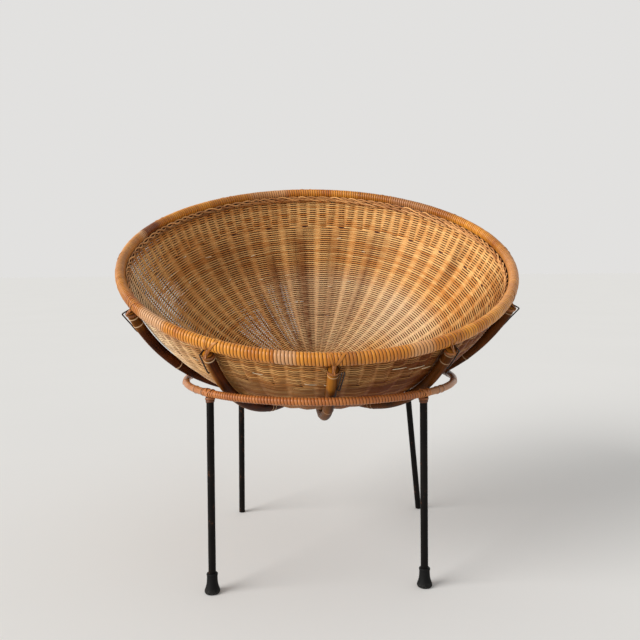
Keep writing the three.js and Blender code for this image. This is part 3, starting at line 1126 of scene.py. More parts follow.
    @staticmethod
    def amount(patches: Iterable[Patch], bearing: Array, angle: Array | float) -> Array:
        """How far patches reach at places on the bowl, at most fully."""
        angle = np.broadcast_to(angle, bearing.shape)
        return np.minimum(sum(patch.at(bearing, angle) for patch in patches), 1.0)

    def rows(self) -> None:
        """Weaves the rows in three bands, from the bottom to the edge."""
        count = int((self.edge_angle - self.start_angle) * self.radius / self.row_pitch)
        angles = self.edge_angle - (np.arange(count)[::-1] + 0.5) * self.row_pitch / self.radius
        bands = np.array_split(np.arange(count), [int(count * share) for share in self.row_bands])
        for name, numbers in zip(("low", "middle", "high"), bands):
            work = CaneWork(sides=5)
            for number in numbers:
                self.row(work, int(number), float(angles[number]))
            work.settle(f"woven_rows_{name}", self.finishes.weave,
                        Body.SEAT, Slot.WEAVE, "woven_bowl")

    def stakes(self) -> None:
        """Runs a pair of stakes up each of the bowl's meridians."""
        work = CaneWork(sides=5)
        edge = self.edge_angle + 0.6 * MM / self.radius
        every = self.stake_count // self.hub_count
        for pair in range(self.stake_count):
            middle = POLE_TURN + pair * TURN / self.stake_count
            foot = 0.25 * DEGREE if pair % every == 0 else self.hub_angle
            angles = np.linspace(foot, edge, self.stake_steps)
            offset = np.array([self.fork_offset(max(angle, self.hub_angle)) for angle in angles])
            offset *= np.clip(angles / self.hub_angle, 0.0, 1.0)
            taper = np.clip(0.35 + 0.65 * angles / self.hub_angle, 0.0, 1.0)
            for side in (-1, 1):
                bearing = middle + side * offset
                path = self.place.point(bearing, angles, np.full_like(angles, self.radius))
                work.sweep(path, self.place.outward(bearing, angles), self.stake_width * taper,
                           self.stake_thickness * taper, tint=float(self.random.uniform(0.1, 0.9)),
                           side=0.0, stain=self.amount(self.stains, bearing, angles))
        work.settle("woven_stakes", self.finishes.stake_and_shade, Body.SEAT, Slot.WEAVE)

    def shade_lining(self) -> None:
        """Fills the gaps between rows with thin dark canes of painted shade, except where light comes
        through.
        """
        work = CaneWork(sides=4)
        bearing = np.arange(self.shade_lining_steps) * TURN / self.shade_lining_steps
        step = self.row_pitch / self.radius
        for angle in np.arange(self.start_angle + step, self.edge_angle - step, step):
            bare = self.amount(self.loose + self.see_through, bearing, angle)
            width = self.shade_lining_reach * self.row_pitch * np.clip(1.0 - 4.0 * bare, 0.1, 1.0)
            level = np.full_like(bearing, angle)
            # Painted shade: a dark sheet between the rows, in the stake finish's stained colour.
            work.sweep(self.place.point(bearing, level, self.radius),
                       self.place.outward(bearing, level), width, self.shade_lining_thickness,
                       closed=True, side=0.0, stain=0.9)
        work.settle("woven_shade_lining", self.finishes.stake_and_shade, Body.SEAT, Slot.WEAVE)

    def frayed(self, work: CaneWork, end: tuple[float, float, float], inside: bool) -> None:
        """Adds the pale end of a broken cane.

        Args:
            work: The mesh that takes it.
            end: Its bearing and angle in degrees, and its length in millimetres.
            inside: Whether it stands off the inside of the bowl.
        """
        bearing, angle, length = end[0] * DEGREE, end[1] * DEGREE, end[2] * MM
        share = np.linspace(0.0, 1.0, 8)
        away = self.swing + self.end_lift + self.random.uniform(1.0, 2.6) * MM * np.sin(share * 2.2)
        lift = self.radius + (-away if inside else away)
        lean = angle + (share - 0.5) * self.random.uniform(-2.5, 2.5) * MM / self.radius
        turns = bearing + (share - 0.5) * length / (self.radius * math.sin(angle))
        work.sweep(self.place.point(turns, lean, lift), self.place.outward(turns, lean),
                   np.linspace(*self.end_widths, len(share)), self.end_thickness, tint=1.0,
                   pale=1.0, side=0.0)

    def frayed_ends(self) -> None:
        """Lays short pale ends of broken canes on both sides."""
        work = CaneWork(sides=5)
        for end in self.broken:
            self.frayed(work, end, inside=True)
        for end in self.wisps:
            self.frayed(work, end, inside=False)
        for _ in range(self.loose_ends):
            bearing, angle = self.random.uniform(110.0, 270.0), self.random.uniform(18.0, 58.0)
            self.frayed(work, (bearing, angle, self.random.uniform(7.0, 13.0)), inside=True)
        work.settle("frayed_ends", self.finishes.weave, Body.SEAT, Slot.WEAVE)

    def build(self) -> None:
        """Makes the bowl."""
        self.rows()
        self.stakes()
        self.shade_lining()
        self.frayed_ends()


@dataclass
class WoundRim:
    """The rim: flat cane wound round an oval pole, and the border of stake ends inside it."""

    place: BowlPlace
    finishes: Finishes
    turn_pitch: float = 5.8 * MM
    strip_thickness: float = 2.1 * MM
    strip_proud: float = 0.6 * MM
    steps: int = 20
    border_ends: int = 96
    border_strand: float = 3.3 * MM
    border_thickness: float = 2.4 * MM
    border_drop: float = 1.5 * MM
    strip_unevenness: float = 0.14 * MM
    # A near-black strip behind the twisted pair paints the shade in its gaps.
    shade_strip_rise: float = 1.0 * MM
    shade_strip_depth: float = 3.6 * MM
    shade_strip_width: float = 13.0 * MM
    pair_rise: float = 1.2 * MM
    pair_swing: float = 2.5 * MM
    pair_opening: float = 0.9 * MM
    pair_depth: float = 1.7 * MM
    pair_width: float = 1.15
    # Millimetres in from the wall along a stake's end, at shares of its length
    end_shares: tuple[float, ...] = (0.0, 0.2, 0.5, 0.8, 1.0)
    end_depths: tuple[float, ...] = (-4.4, -0.6, 0.6, -0.2, -2.8)
    faded: tuple[Stretch, ...] = (
        Stretch(-45.5, 5.0, 0.9), Stretch(-7.4, 2.4, 0.75, 1.0), Stretch(25.2, 3.0, 0.6),
        Stretch(-88.0, 14.0, 0.3, 8.0), Stretch(72.0, 22.0, 0.35, 10.0),
        Stretch(-161.5, 7.0, 0.6, 3.0), Stretch(144.0, 8.0, 0.5, 4.0), Stretch(-103.8, 1.8, 0.8),
    )
    stained: tuple[Stretch, ...] = (
        Stretch(146.0, 22.0, 0.45, 8.0), Stretch(8.0, 2.5, 0.4), Stretch(98.0, 10.0, 0.3, 6.0),
        Stretch(-70.0, 18.0, 0.3, 10.0), Stretch(-109.0, 4.2, 0.9),
        Stretch(-150.0, 12.0, 0.35, 4.0),
    )
    border_open: Stretch = Stretch(-115.0, 45.0, edge=20.0)
    border_wide: Stretch = Stretch(140.0, 28.0, edge=12.0)
    border_stained: Stretch = Stretch(-110.0, 40.0, 0.55, 20.0)
    random: np.random.Generator = seeded(1)

    def __post_init__(self) -> None:
        """Reads the rim's circle, its outer half sizes and the border's place from the frame."""
        reach, drop = self.place.measure(node_points("rim_hoop"))
        self.reach = float((reach.min() + reach.max()) / 2)
        self.drop = float(drop.mean())
        reach, drop = self.place.measure(np.vstack([
            node_points(f"rim_cane_{number + 1:02d}") for number in range(POLE_COUNT)]))
        self.half_width = float(reach.max() - self.reach)
        self.half_height = float(drop.max() - self.drop)
        reach, drop = self.place.measure(node_points("border_plait"))
        self.border_reach = float(reach.mean())
        self.border_low = float(drop.mean()) + self.border_drop
        self.border_lean = math.atan2(self.border_reach, self.border_low)

    def oval(self, bearing: Array, slant: Array, lift: Array | float) -> tuple[Array, Array]:
        """Places on the wound surface.

        Args:
            bearing: The bearing from the front.
            slant: The angle round the rim's section, 0 on its outer side and a quarter on top.
            lift: How far the places stand off the surface.

        Returns:
            The places, and the directions that the surface faces there.
        """
        wide, high = self.half_width + lift, self.half_height + lift
        cosine, sine = np.cos(slant), np.sin(slant)
        path = self.place.around(bearing, self.reach + wide * cosine, self.drop - high * sine)
        level = self.place.level(bearing)
        facing = (cosine / wide)[:, None] * level + (sine / high)[:, None] * self.place.up
        return path, unit(facing)

    def winding(self, number: int) -> None:
        """Winds the rim from one pole to the next.

        Args:
            number: The first pole's number.
        """
        run = TURN / POLE_COUNT
        turns = round(run * self.reach / self.turn_pitch)
        share = np.arange(turns * self.steps + 1) / self.steps
        turn = np.rint(share).astype(int)
        share_off = self.random.normal(0.0, 0.012, turns + 2)
        bearing = pole_bearing(number) + (share + share_off[turn]) * run / turns
        wobble = self.random.normal(0.0, self.strip_unevenness, turns + 2)
        lift = self.strip_proud - self.strip_thickness / 2
        lift = lift + np.interp(share, np.arange(turns + 2), wobble)
        path, facing = self.oval(bearing, -math.pi / 2 - share * TURN, lift)
        shades = self.random.normal(0.5, 0.22, turns + 1)
        group = self.random.normal(0.0, 0.14, turns // 5 + 2)
        turn = np.minimum(share.astype(int), turns)
        work = CaneWork(sides=8, squareness=0.75)
        work.sweep(path, facing, run / turns * self.reach * 0.985, self.strip_thickness,
                   tint=shades[turn] + group[turn // 5], pale=self.total(self.faded, bearing),
                   stain=self.total(self.stained, bearing))
        work.settle(f"rim_winding_{number + 1:02d}", self.finishes.rim,
                    Body.SEAT, Slot.RIM_CANE, f"rim_cane_{number + 1:02d}")

    @staticmethod
    def total(stretches: Iterable[Stretch], bearing: Array) -> Array:
        """How much the rim differs at bearings, over all its stretches of a kind."""
        return sum(stretch.at(bearing) for stretch in stretches)

    def lay(self, work: CaneWork, bearing: Array, rise: Array, inward: Array,
            **looks: object) -> None:
        """Adds a cane of the border along the bowl's wall.

        Args:
            work: The mesh that takes it.
            bearing: The bearings it passes.
            rise: How far up the wall it lies there.
            inward: How far in from the wall it lies there.
            **looks: The sweep's width and values.
        """
        lean = self.border_lean
        facing = -self.place.outward(bearing, np.full_like(bearing, lean))
        path = self.place.around(bearing, self.border_reach + rise * math.cos(lean),
                                 self.border_low - rise * math.sin(lean))
        work.sweep(path + inward[:, None] * facing, facing, thickness=self.border_thickness, **looks)

    def twisted_pair(self, work: CaneWork) -> None:
        """Twists two strands round the bowl, in front of a dark strip of painted shade that closes the
        gaps.

        Args:
            work: The mesh that takes it.
        """
        count = self.border_ends * 8
        bearing = np.arange(count) * TURN / count
        level = np.zeros_like(bearing)
        # Painted shade: the near-black strip behind the pair.
        self.lay(work, bearing, level + self.shade_strip_rise, level - self.shade_strip_depth,
                 width=self.shade_strip_width, closed=True, stain=1.0)
        for phase in (0.0, math.pi):
            uneven = 0.5 * np.sin(bearing * 9) + 0.4 * np.sin(bearing * 23 + 1.0)
            swing = bearing * self.border_ends / 2 + uneven + phase
            loose = self.border_open.at(bearing)
            shade = 0.5 + 0.25 * np.sin(bearing * 3 + phase) + 0.25 * np.sin(bearing * 11 + phase)
            reach = self.pair_swing + self.pair_opening * loose
            self.lay(work, bearing, self.pair_rise + reach * np.sin(swing),
                     self.pair_depth * np.cos(swing), width=self.pair_width * self.border_strand,
                     closed=True, tint=shade, pale=0.12 * loose)

    def stake_ends(self, work: CaneWork) -> None:
        """Slants the ends of the stakes up behind the twisted pair.

        Args:
            work: The mesh that takes it.
        """
        pitch = TURN / self.border_ends
        share = np.linspace(0.0, 1.0, 10)
        depth = np.interp(share, self.end_shares, self.end_depths) * MM
        for number in range(self.border_ends):
            spread = self.random.uniform(1.5, 1.9)
            bearing = POLE_TURN + (number + 0.5 + (share - 0.5) * spread) * pitch
            rise = self.random.normal(-3.2, 0.4) - 4.6 * (1.0 - share) ** 2
            wide = 1.0 + 0.3 * self.border_wide.at(bearing)
            self.lay(work, bearing, rise * wide * MM, depth, width=self.border_strand * wide,
                     tint=float(self.random.normal(0.55, 0.25)), pale=0.3 * (wide - 1.0),
                     stain=self.border_stained.at(bearing))

    def border(self) -> None:
        """Makes the border inside the rim."""
        work = CaneWork(sides=6)
        self.twisted_pair(work)
        self.stake_ends(work)
        work.settle("woven_border_and_shade_strip", self.finishes.border, Body.SEAT, Slot.PLAIT, "border_plait")

    def build(self) -> None:
        """Makes the rim."""
        for number in range(POLE_COUNT):
            self.winding(number)
        self.border()
        dress("rim_hoop", self.finishes.core)


@dataclass(frozen=True)
class WirePoint:
    """A place that a wire hairpin passes.

    It lies at a share of the way up, some bends above that, and at a share of the way out. To
    that come a share of the hairpin's stand-off, and millimetres further out and across.
    """

    up: float
    bends: float
    out: float
    stands: float = 0.0
    further: float = 0.0
    across: float = 0.0


@dataclass(frozen=True)
class Strap:
    """A strip over the rim: from the right of a pole (1) or the left (-1), seen from outside."""

    lean: float
    reach: float
    width: float


@dataclass
class BowlPoles:
    """The cane poles under the bowl, their hoop, their bindings and the wire hairpins."""

    place: BowlPlace
    rim: WoundRim
    finishes: Finishes
    # Shares of a pole's length, then for each pole: millimetres of bare top, how worn it is (which
    # also sets the strength of its painted highlight), and the share of its hairpin's stand-off
    joint_shares: tuple[float, ...] = (0.305, 0.33, 0.66)
    bare_lengths: tuple[float, ...] = (58, 9, 10, 14, 20, 35, 28, 24, 30, 26, 45, 12)
    worn: tuple[float, ...] = (0.4, 0.15, 0.1, 0.2, 0.5, 0.7, 0.4, 0.6, 0.8, 0.6, 1.0, 1.0)
    standing: tuple[float, ...] = (0.7, 0.3, 1.0, 0.6, 0.3, 0.8, 0.5, 0.9, 0.4, 0.7, 0.9, 0.1)
    sides: int = 24
    outline_steps: int = 40
    stem_width: float = 0.945
    # Shares of the radius that a joint adds, and how far along the pole
    joint_swells: tuple[tuple[float, float], ...] = ((0.035, 5.0 * MM), (0.03, 1.1 * MM))
    ring_half_width: float = 0.9 * MM
    # Millimetres from a joint, and bearings on the hoop
    joint_rings: tuple[float, ...] = (-4.0, -1.6, -0.9, 0.0, 0.9, 1.6, 4.0)
    hoop_joints: tuple[float, ...] = (0.4, 2.3, 4.9)
    straps: tuple[Strap, ...] = (Strap(1.0, 21 * MM, 5.8 * MM), Strap(-1.0, 8 * MM, 4.4 * MM))
    # Degrees round the rim and round the pole, and millimetres down the pole, from start to end
    strap_over_rim: tuple[float, float] = (110.0, -42.0)
    strap_round_pole: tuple[float, float] = (-4.0, -130.0)
    strap_down_pole: tuple[float, float] = (1.6, 7.0)
    # Millimetres below the pole's top, width in millimetres, and lightness
    bindings: tuple[tuple[float, float, float], ...] = ((2.4, 2.6, 0.2), (4.8, 2.4, 0.35))
    strip_thickness: float = 0.9 * MM
    wire_radius: float = 1.25 * MM
    wire_bend: float = 4.0 * MM
    stand_off: float = 9.0 * MM
    side_wire: tuple[WirePoint, ...] = (
        WirePoint(1, 0, 0), WirePoint(1, 0, 0.5), WirePoint(1, 0, 1, 0.75),
        WirePoint(1, -0.2, 1, 0.96), WirePoint(1, -0.8, 1, 1), WirePoint(0.5, 0, 1, 0.6),
        WirePoint(0, 1, 1, 0.36), WirePoint(0, 0.2, 0.5, 0, 2), WirePoint(0, 0.2, 0.5, 0, -2),
        WirePoint(0, 1, 0), WirePoint(0.5, 0, 0), WirePoint(1, -2, 0),
    )
    front_wire: tuple[WirePoint, ...] = (
        WirePoint(1, 0, 1, 0, 0, 1.0), WirePoint(1, 0, 1, 0, 2, 0.8),
        WirePoint(1, -1, 1, 0, 3, 0.2), WirePoint(0.5, 0, 1, 0, 1.5, -1.0),
        WirePoint(0, 1, 1, 0, 0, -2.4), WirePoint(0, 0.3, 1, 0, 0, -1.8),
        WirePoint(0, 0.3, 1, 0, 0, 0.6), WirePoint(0, 1, 1, 0, 0, 1.3),
        WirePoint(0.5, 0, 1, 0, 1.5, 2.8), WirePoint(1, -1, 1, 0, 3, 4.6),
        WirePoint(1, 0, 1, 0, 2, 5.0), WirePoint(1, 0, 1, 0, 0, 5.1),
    )
    random: np.random.Generator = seeded(2)

    def __post_init__(self) -> None:
        """Reads the poles' run and thickness from the frame."""
        reach, drop = self.place.measure(node_points("rib_01"))
        distance = np.hypot(reach, drop)
        angle = np.arctan2(reach, drop)
        self.low, self.high = float(angle.min()), float(angle.max())
        self.radius = float(distance.max() - distance.min()) / 2 - 0.3 * MM
        self.distance = float(distance.max()) - self.radius - 0.1 * MM

    def side(self, number: int) -> Array:
        """The direction across a pole, level on the bowl."""
        return np.cross(self.place.up, self.place.level(np.array(pole_bearing(number))))

    def outline(self, length: float, joints: Sequence[float]) -> list[tuple[float, float]]:
        """Draws a pole's outline: gentle swells, with a ridge at each joint.

        Args:
            length: The pole's length.
            joints: The heights of its joints.

        Returns:
            The height and radius of each ring, from the foot up.
        """
        heights = list(np.linspace(0.0, length, self.outline_steps))
        for joint in joints:
            heights += [joint + step * MM for step in self.joint_rings]
        rings = []
        for height in sorted(heights):
            near = min(abs(height - joint) for joint in joints)
            wide = self.stem_width + swells(near, self.joint_swells)
            end = 0.9 if min(height, length - height) < 0.1 * MM else 1.0
            rings.append((height, self.radius * wide * end))
        rings.insert(1, (1.2 * MM, rings[1][1]))
        return rings

    def wear(self, number: int, corners: Array, length: float,
             joints: Sequence[float]) -> dict[str, Array]:
        """Finds where a straight pole is pale.

        Args:
            number: The pole's number.
            corners: Its corners.
            length: Its length.
            joints: The heights of its joints.

        Returns:
            The values ring, for the joints, and the amber value, for the worn top and a painted
            highlight on the flank towards the window.
        """
        worn = self.worn[number]
        across = corners[:, 1] / self.radius
        near = np.min(np.abs(corners[:, 2:] - np.array(joints)), axis=1)
        top = np.clip((corners[:, 2] - length + self.bare_lengths[number] * MM) / (3 * MM), 0.0, 1.0)
        # The top is lighter on its window side, and the flank on that side gets a painted amber
        # highlight.
        top = top * np.clip(0.6 - 0.75 * across, 0.15, 0.9) * (0.5 + 0.5 * worn)
        flank_light = np.clip(0.3 - 0.6 * across, 0.0, 0.5) * worn
        return {"ring": fading_mark(near, self.ring_half_width, 1.6) * (0.3 + 0.7 * worn),
                "bare": np.maximum(top, flank_light)}

    def pole(self, number: int) -> None:
        """Makes one pole: turned straight, then bent to the bowl.

        Args:
            number: The pole's number.
        """
        length = (self.high - self.low) * self.distance
        shift = self.random.uniform(-0.02, 0.02, len(self.joint_shares))
        joints = [length * (share + move) for share, move in zip(self.joint_shares, shift)]
        joints.append(length - self.random.uniform(10.0, 13.0) * MM)
        if number % 3 == 1:
            joints.append(length - self.random.uniform(26.0, 30.0) * MM)
        piece = turned(f"cane_pole_{number + 1:02d}", self.outline(length, joints), self.sides)
        wrap_uv(piece)
        set_values(piece, **self.wear(number, corners_of(piece), length, joints))
        sway = self.random.uniform(-1.0, 1.0) * 0.6 * MM
        side = self.side(number)

        def bent(points: Array) -> Array:
            """Lays the straight pole along the bowl.

            Args:
                points: Corners of the straight pole.

            Returns:
                Their places on the bent one.
            """
            angle = self.low + points[:, 2] / self.distance
            bow = sway * np.sin(points[:, 2] / length * math.pi)
            bearing = np.full_like(angle, pole_bearing(number))
            along = self.place.point(bearing, angle, self.distance + points[:, 0])
            return along + (points[:, 1] + bow)[:, None] * side

        reshape(piece, bent)
        face_outwards(piece)
        piece.data.materials.append(self.finishes.pole)
        settle(piece, Body.SEAT, Slot.POLE, f"rib_{number + 1:02d}")

    def hairpin(self, number: int) -> None:
        """Bends a wire hairpin beside a pole's top; the front one is turned to show both legs.

        Args:
            number: The pole's number.
        """
        node = f"rib_wire_{number + 1:02d}"
        points = node_points(node)
        reach, drop = self.place.measure(points)
        distance, angle = np.hypot(reach, drop), np.arctan2(reach, drop)
        end = self.wire_radius / self.distance
        low, high = float(angle.min()) + end, float(angle.max()) - end
        inner, outer = distance.min() + self.wire_radius, distance.max() - self.wire_radius
        bearing, side = np.array(pole_bearing(number)), self.side(number)
        beside = float(((points - self.place.centre) @ side).mean())
        knots = []
        for at in self.front_wire if number == 0 else self.side_wire:
            up = low + at.up * (high - low) + at.bends * self.wire_bend / self.distance
            out = inner + at.out * (outer - inner) + at.further * MM
            out += at.stands * self.stand_off * self.standing[number]
            knots.append(self.place.point(bearing, np.array(up), np.array(out))
                         + (beside + at.across * MM) * side)
        work = CaneWork(sides=8)
        work.sweep(smooth_path(knots, 8), side, 2 * self.wire_radius, 2 * self.wire_radius)
        work.settle(f"wire_hook_{number + 1:02d}", self.finishes.wire, Body.SEAT, Slot.WIRE, node)

    def on_pole(self, bearing: Array, angle: Array, wrap: Array,
                lift: float) -> tuple[Array, Array]:
        """Finds places on a pole's surface.

        Args:
            bearing: The pole's bearing, at each place.
            angle: The places' angles up the bowl.
            wrap: Their angles round the pole, 0 on its outer side.
            lift: How far they stand off the surface.

        Returns:
            The places, and the directions that the surface faces there.
        """
        side = np.cross(self.place.up, self.place.level(bearing))
        outward = self.place.outward(bearing, angle)
        facing = np.cos(wrap)[:, None] * outward + np.sin(wrap)[:, None] * side
        return self.place.centre + self.distance * outward + (self.radius + lift) * facing, facing

    def strap(self, work: CaneWork, number: int, strap: Strap) -> None:
        """Adds a strip that slants from under the windings, over the rim and onto the pole.

        Args:
            work: The mesh that takes it.
            number: The pole's number.
            strap: Its side, how far along the rim it starts, and its width.
        """
        bearing = pole_bearing(number)
        slants = np.linspace(*self.strap_over_rim, 12) * DEGREE
        slide = strap.lean * np.linspace(strap.reach, 0.12 * strap.reach, 12)
        lift = np.interp(np.arange(12), [0, 3], [-1.6 * MM, 0.7 * MM])
        rim_path, rim_facing = self.rim.oval(bearing + slide / self.rim.reach, slants, lift)
        wrap = strap.lean * np.linspace(*self.strap_round_pole, 9) * DEGREE
        angle = self.high - np.linspace(*self.strap_down_pole, 9) * MM / self.distance
        pole_path, pole_facing = self.on_pole(np.full(9, bearing), angle, wrap, 0.1 * MM)
        path = smooth_path(np.vstack([rim_path, pole_path]), 3)
        facing = unit(smooth_path(np.vstack([rim_facing, pole_facing]), 3))
        work.sweep(path, facing, strap.width, self.strip_thickness,
                   tint=float(self.random.uniform(0.35, 0.75)),
                   stain=np.linspace(0.1, 1.0, len(path)))

    def binding(self, number: int) -> None:
        """Binds a pole's top to the rim with slanting strips, and rings the pole below them.

        Args:
            number: The pole's number.
        """
        work = CaneWork(sides=6, squareness=0.8)
        for strap in self.straps:
            self.strap(work, number, strap)
        work.settle(f"pole_strap_{number + 1:02d}", self.finishes.rim, Body.SEAT, Slot.RIM_CANE)
        work = CaneWork(sides=6, squareness=0.8)
        wrap = circle(24)
        for drop, width, shade in self.bindings:
            angle = self.high - (drop + 0.8 * np.cos(wrap + number)) * MM / self.distance
            bearing = np.full_like(wrap, pole_bearing(number))
            path, facing = self.on_pole(bearing, angle, wrap, 0.1 * MM)
            work.sweep(path, facing, width * MM, self.strip_thickness, closed=True,
                       tint=shade * float(self.random.uniform(0.7, 1.3)), stain=0.3)
        work.settle(f"pole_binding_{number + 1:02d}", self.finishes.binding,
                    Body.SEAT, Slot.RIM_CANE)

    def hoop(self) -> None:
        """Makes the small hoop that the poles end on."""
        reach, drop = self.place.measure(node_points("bottom_hoop"))
        wide = float(reach.max() + reach.min()) / 2
        thick = float(drop.max() - drop.min()) / 2
        deselect()
        bpy.ops.mesh.primitive_torus_add(major_segments=96, minor_segments=20, major_radius=wide,
                                         minor_radius=thick)
        piece = bpy.context.object
        piece.name = piece.data.name = "base_hoop"
        bpy.ops.object.shade_smooth()
        middle = self.place.centre - self.place.up * float(drop.mean())
        corners = corners_of(piece)
        turn = np.arctan2(corners[:, 1], corners[:, 0])
        away = turned_from(turn[:, None], np.array(self.hoop_joints))
        near = np.min(np.abs(away), axis=1) * wide
        set_values(piece, ring=fading_mark(near, 1.1 * MM, 1.6), bare=np.full(len(near), 0.1))
        piece.data.uv_layers[0].name = "cane"
        axes = np.stack([self.place.side, -self.place.front, self.place.up])
        reshape(piece, lambda points: middle + points @ axes)
        piece.data.materials.append(self.finishes.pole)
        settle(piece, Body.SEAT, Slot.POLE, "bottom_hoop")

    def build(self) -> None:
        """Makes the poles."""
        for number in range(POLE_COUNT):
            self.pole(number)
            self.hairpin(number)
            self.binding(number)
        self.hoop()


@dataclass(frozen=True)
class Sheath:
    """A smooth cane round the ring, with its joints in millimetres from the front leg."""

    side: str
    pale: float
    joints: tuple[float, ...]


@dataclass
class SteelStand:
    """The stand: a rod ring wound with cane, four painted legs and two rubber feet."""

    finishes: Finishes
    turn_pitch: float = 5.6 * MM
    strip_thickness: float = 2.0 * MM
    strip_width: float = 4.6 * MM
    strip_unevenness: float = 0.1 * MM
    steps: int = 16
    # Degrees round the ring and millimetres along it, from a crossed strip's start to its end
    strip_slants: tuple[float, float] = (-95.0, 88.0)
    strip_slides: tuple[float, float] = (-8.0, 9.0)
    # Millimetres above the lashing's low end, millimetres off the leg, and stain
    collars: tuple[tuple[float, float, float], ...] = ((2.3, 0.5, 0.9), (6.5, 1.5, 0.65))
    sheath_steps: int = 320
    sheath_width: float = 0.93
    sheath_swells: tuple[tuple[float, float], ...] = ((0.06, 5.0 * MM), (0.07, 1.6 * MM))
    sheaths: tuple[Sheath, ...] = (
        Sheath("left", 0.15, (3.0, 32.0, 118.0, 205.0, 290.0)),
        Sheath("right", 0.6, (24.0, 40.0, 130.0, 225.0, 300.0)),
    )
    leg_radius: float = 6.5 * MM
    leg_steps: int = 22
    leg_unevenness: float = 0.006
    leg_gap: float = 0.6 * MM
    legs: tuple[str, ...] = ("front_left", "front_right", "back_right", "back_left")
    # Shares of a foot's height and of its radius
    foot_outline: tuple[tuple[float, float], ...] = (
        (0.0, 0.8), (0.03, 0.93), (0.09, 1.0), (0.16, 0.99), (0.3, 0.86), (0.45, 0.75),
        (0.62, 0.7), (0.8, 0.68), (0.88, 0.7), (0.93, 0.73), (0.97, 0.72), (1.0, 0.66),
    )
    random: np.random.Generator = seeded(3)

    def __post_init__(self) -> None:
        """Reads the ring's circle from the frame."""
        low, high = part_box("stand_ring")
        self.middle = np.array([(low.x + high.x) / 2, (low.y + high.y) / 2, (low.z + high.z) / 2])
        self.rod = (high.z - low.z) / 2
        self.reach = (high.x - low.x) / 2 - self.rod
        low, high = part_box("ring_cane_front")
        self.wound = (high.z - low.z) / 2

    def around(self, bearing: Array, slant: Array, lift: Array | float) -> tuple[Array, Array]:
        """Finds places on the wound ring.

        Args:
            bearing: The places' bearings.
            slant: Their angles round the ring's section, 0 on its outer side.
            lift: How far they stand off the cane.

        Returns:
            The places, and the directions that the surface faces there.
        """
        level = np.stack([np.sin(bearing), -np.cos(bearing), np.zeros_like(bearing)], -1)
        facing = np.cos(slant)[:, None] * level + np.sin(slant)[:, None] * np.array([0.0, 0.0, 1.0])
        lift = np.broadcast_to(lift, slant.shape)[:, None]
        return self.middle + self.reach * level + (self.wound + lift) * facing, facing

    def span(self, node: str) -> tuple[float, float]:
        """Finds where a piece on the ring begins and ends.

        Args:
            node: The piece's CAD node.

        Returns:
            The first and the last bearing.
        """
        away = node_points(node) - self.middle
        bearing = np.arctan2(away[:, 0], -away[:, 1])
        middle = math.atan2(np.sin(bearing).mean(), np.cos(bearing).mean())
        spread = turned_from(bearing, middle)
        return middle + float(spread.min()), middle + float(spread.max())

    def winding(self, side: str) -> None:
        """Winds the ring between two legs, with a closed turn at each end.

        Args:
            side: The side of the ring.
        """
        node = f"ring_cane_{side}"
        first, last = self.span(node)
        turns = round((last - first) * self.reach / self.turn_pitch)
        pitch = (last - first) / turns
        share = np.arange(turns * self.steps + 1) / self.steps
        bearing = first + pitch * (0.5 + share * (turns - 1) / turns)
        wobble = self.random.normal(0.0, self.strip_unevenness, turns + 2)
        lift = -self.strip_thickness / 2 + np.interp(share, np.arange(turns + 2), wobble)
        path, facing = self.around(bearing, -math.pi / 2 - share * TURN, lift)
        shades = self.random.normal(0.5, 0.18, turns + 1)[np.minimum(share.astype(int), turns)]
        work = CaneWork(sides=8, squareness=0.85)
        width = pitch * self.reach * 0.98
        work.sweep(path, facing, width, self.strip_thickness, tint=shades)
        slant = circle(20)
        for end in (first + pitch * 0.45, last - pitch * 0.45):
            path, facing = self.around(np.full_like(slant, end), slant,
                                       -self.strip_thickness / 2 - 0.15 * MM)
            work.sweep(path, facing, width, self.strip_thickness, closed=True, tint=0.4)
        work.settle(f"ring_winding_{side}", self.finishes.ring, Body.STAND, Slot.RING_CANE, node)

    def sheath(self, sheath: Sheath) -> None:
        """Sheathes the ring beside two legs in one smooth cane, with painted shade where the seat hides
        it.

        Args:
            sheath: The sheath's side and looks.
        """
        node = f"ring_cane_{sheath.side}"
        first, last = self.span(node)
        if sheath.side == "left":
            first, last = last, first
        bearing = np.linspace(first, last, self.sheath_steps)
        run = np.abs(bearing - first) * self.reach
        near = np.min(np.abs(run[:, None] - np.array(sheath.joints) * MM), axis=1)
        middle, facing = self.around(bearing, np.zeros_like(bearing), -self.wound)
        wide = 2 * self.wound * (self.sheath_width + swells(near, self.sheath_swells))
        cloud = 0.5 + 0.2 * np.sin(run * 70.0) + 0.15 * np.sin(run * 190.0)
        # Painted shade: darker towards the back, where the seat overhangs the ring.
        painted_shade_under_seat = np.clip(8.0 * run / run.max() - 3.7, 0.0, 0.85)
        work = CaneWork(sides=20)
        work.sweep(middle, facing, wide, wide, tint=cloud, pale=sheath.pale,
                   stain=np.maximum(painted_shade_under_seat, 0.8 * fading_mark(near, 0.9 * MM, 1.8)))
        work.settle(f"ring_sheath_{sheath.side}", self.finishes.sheath,
                    Body.STAND, Slot.RING_CANE, node)

    def leg_line(self, leg: str) -> tuple[Array, Array]:
        """Finds a leg's middle line.

        Args:
            leg: The leg.

        Returns:
            The middle of its foot, and of the low end of its lashing.
        """
        rod = node_points(f"leg_{leg}")
        foot = rod[rod[:, 2] < rod[:, 2].min() + 0.5 * MM].mean(0)
        collar = node_points(f"leg_lashing_{leg}")
        high = collar[collar[:, 2] < collar[:, 2].min() + 0.5 * MM].mean(0)
        return foot, high

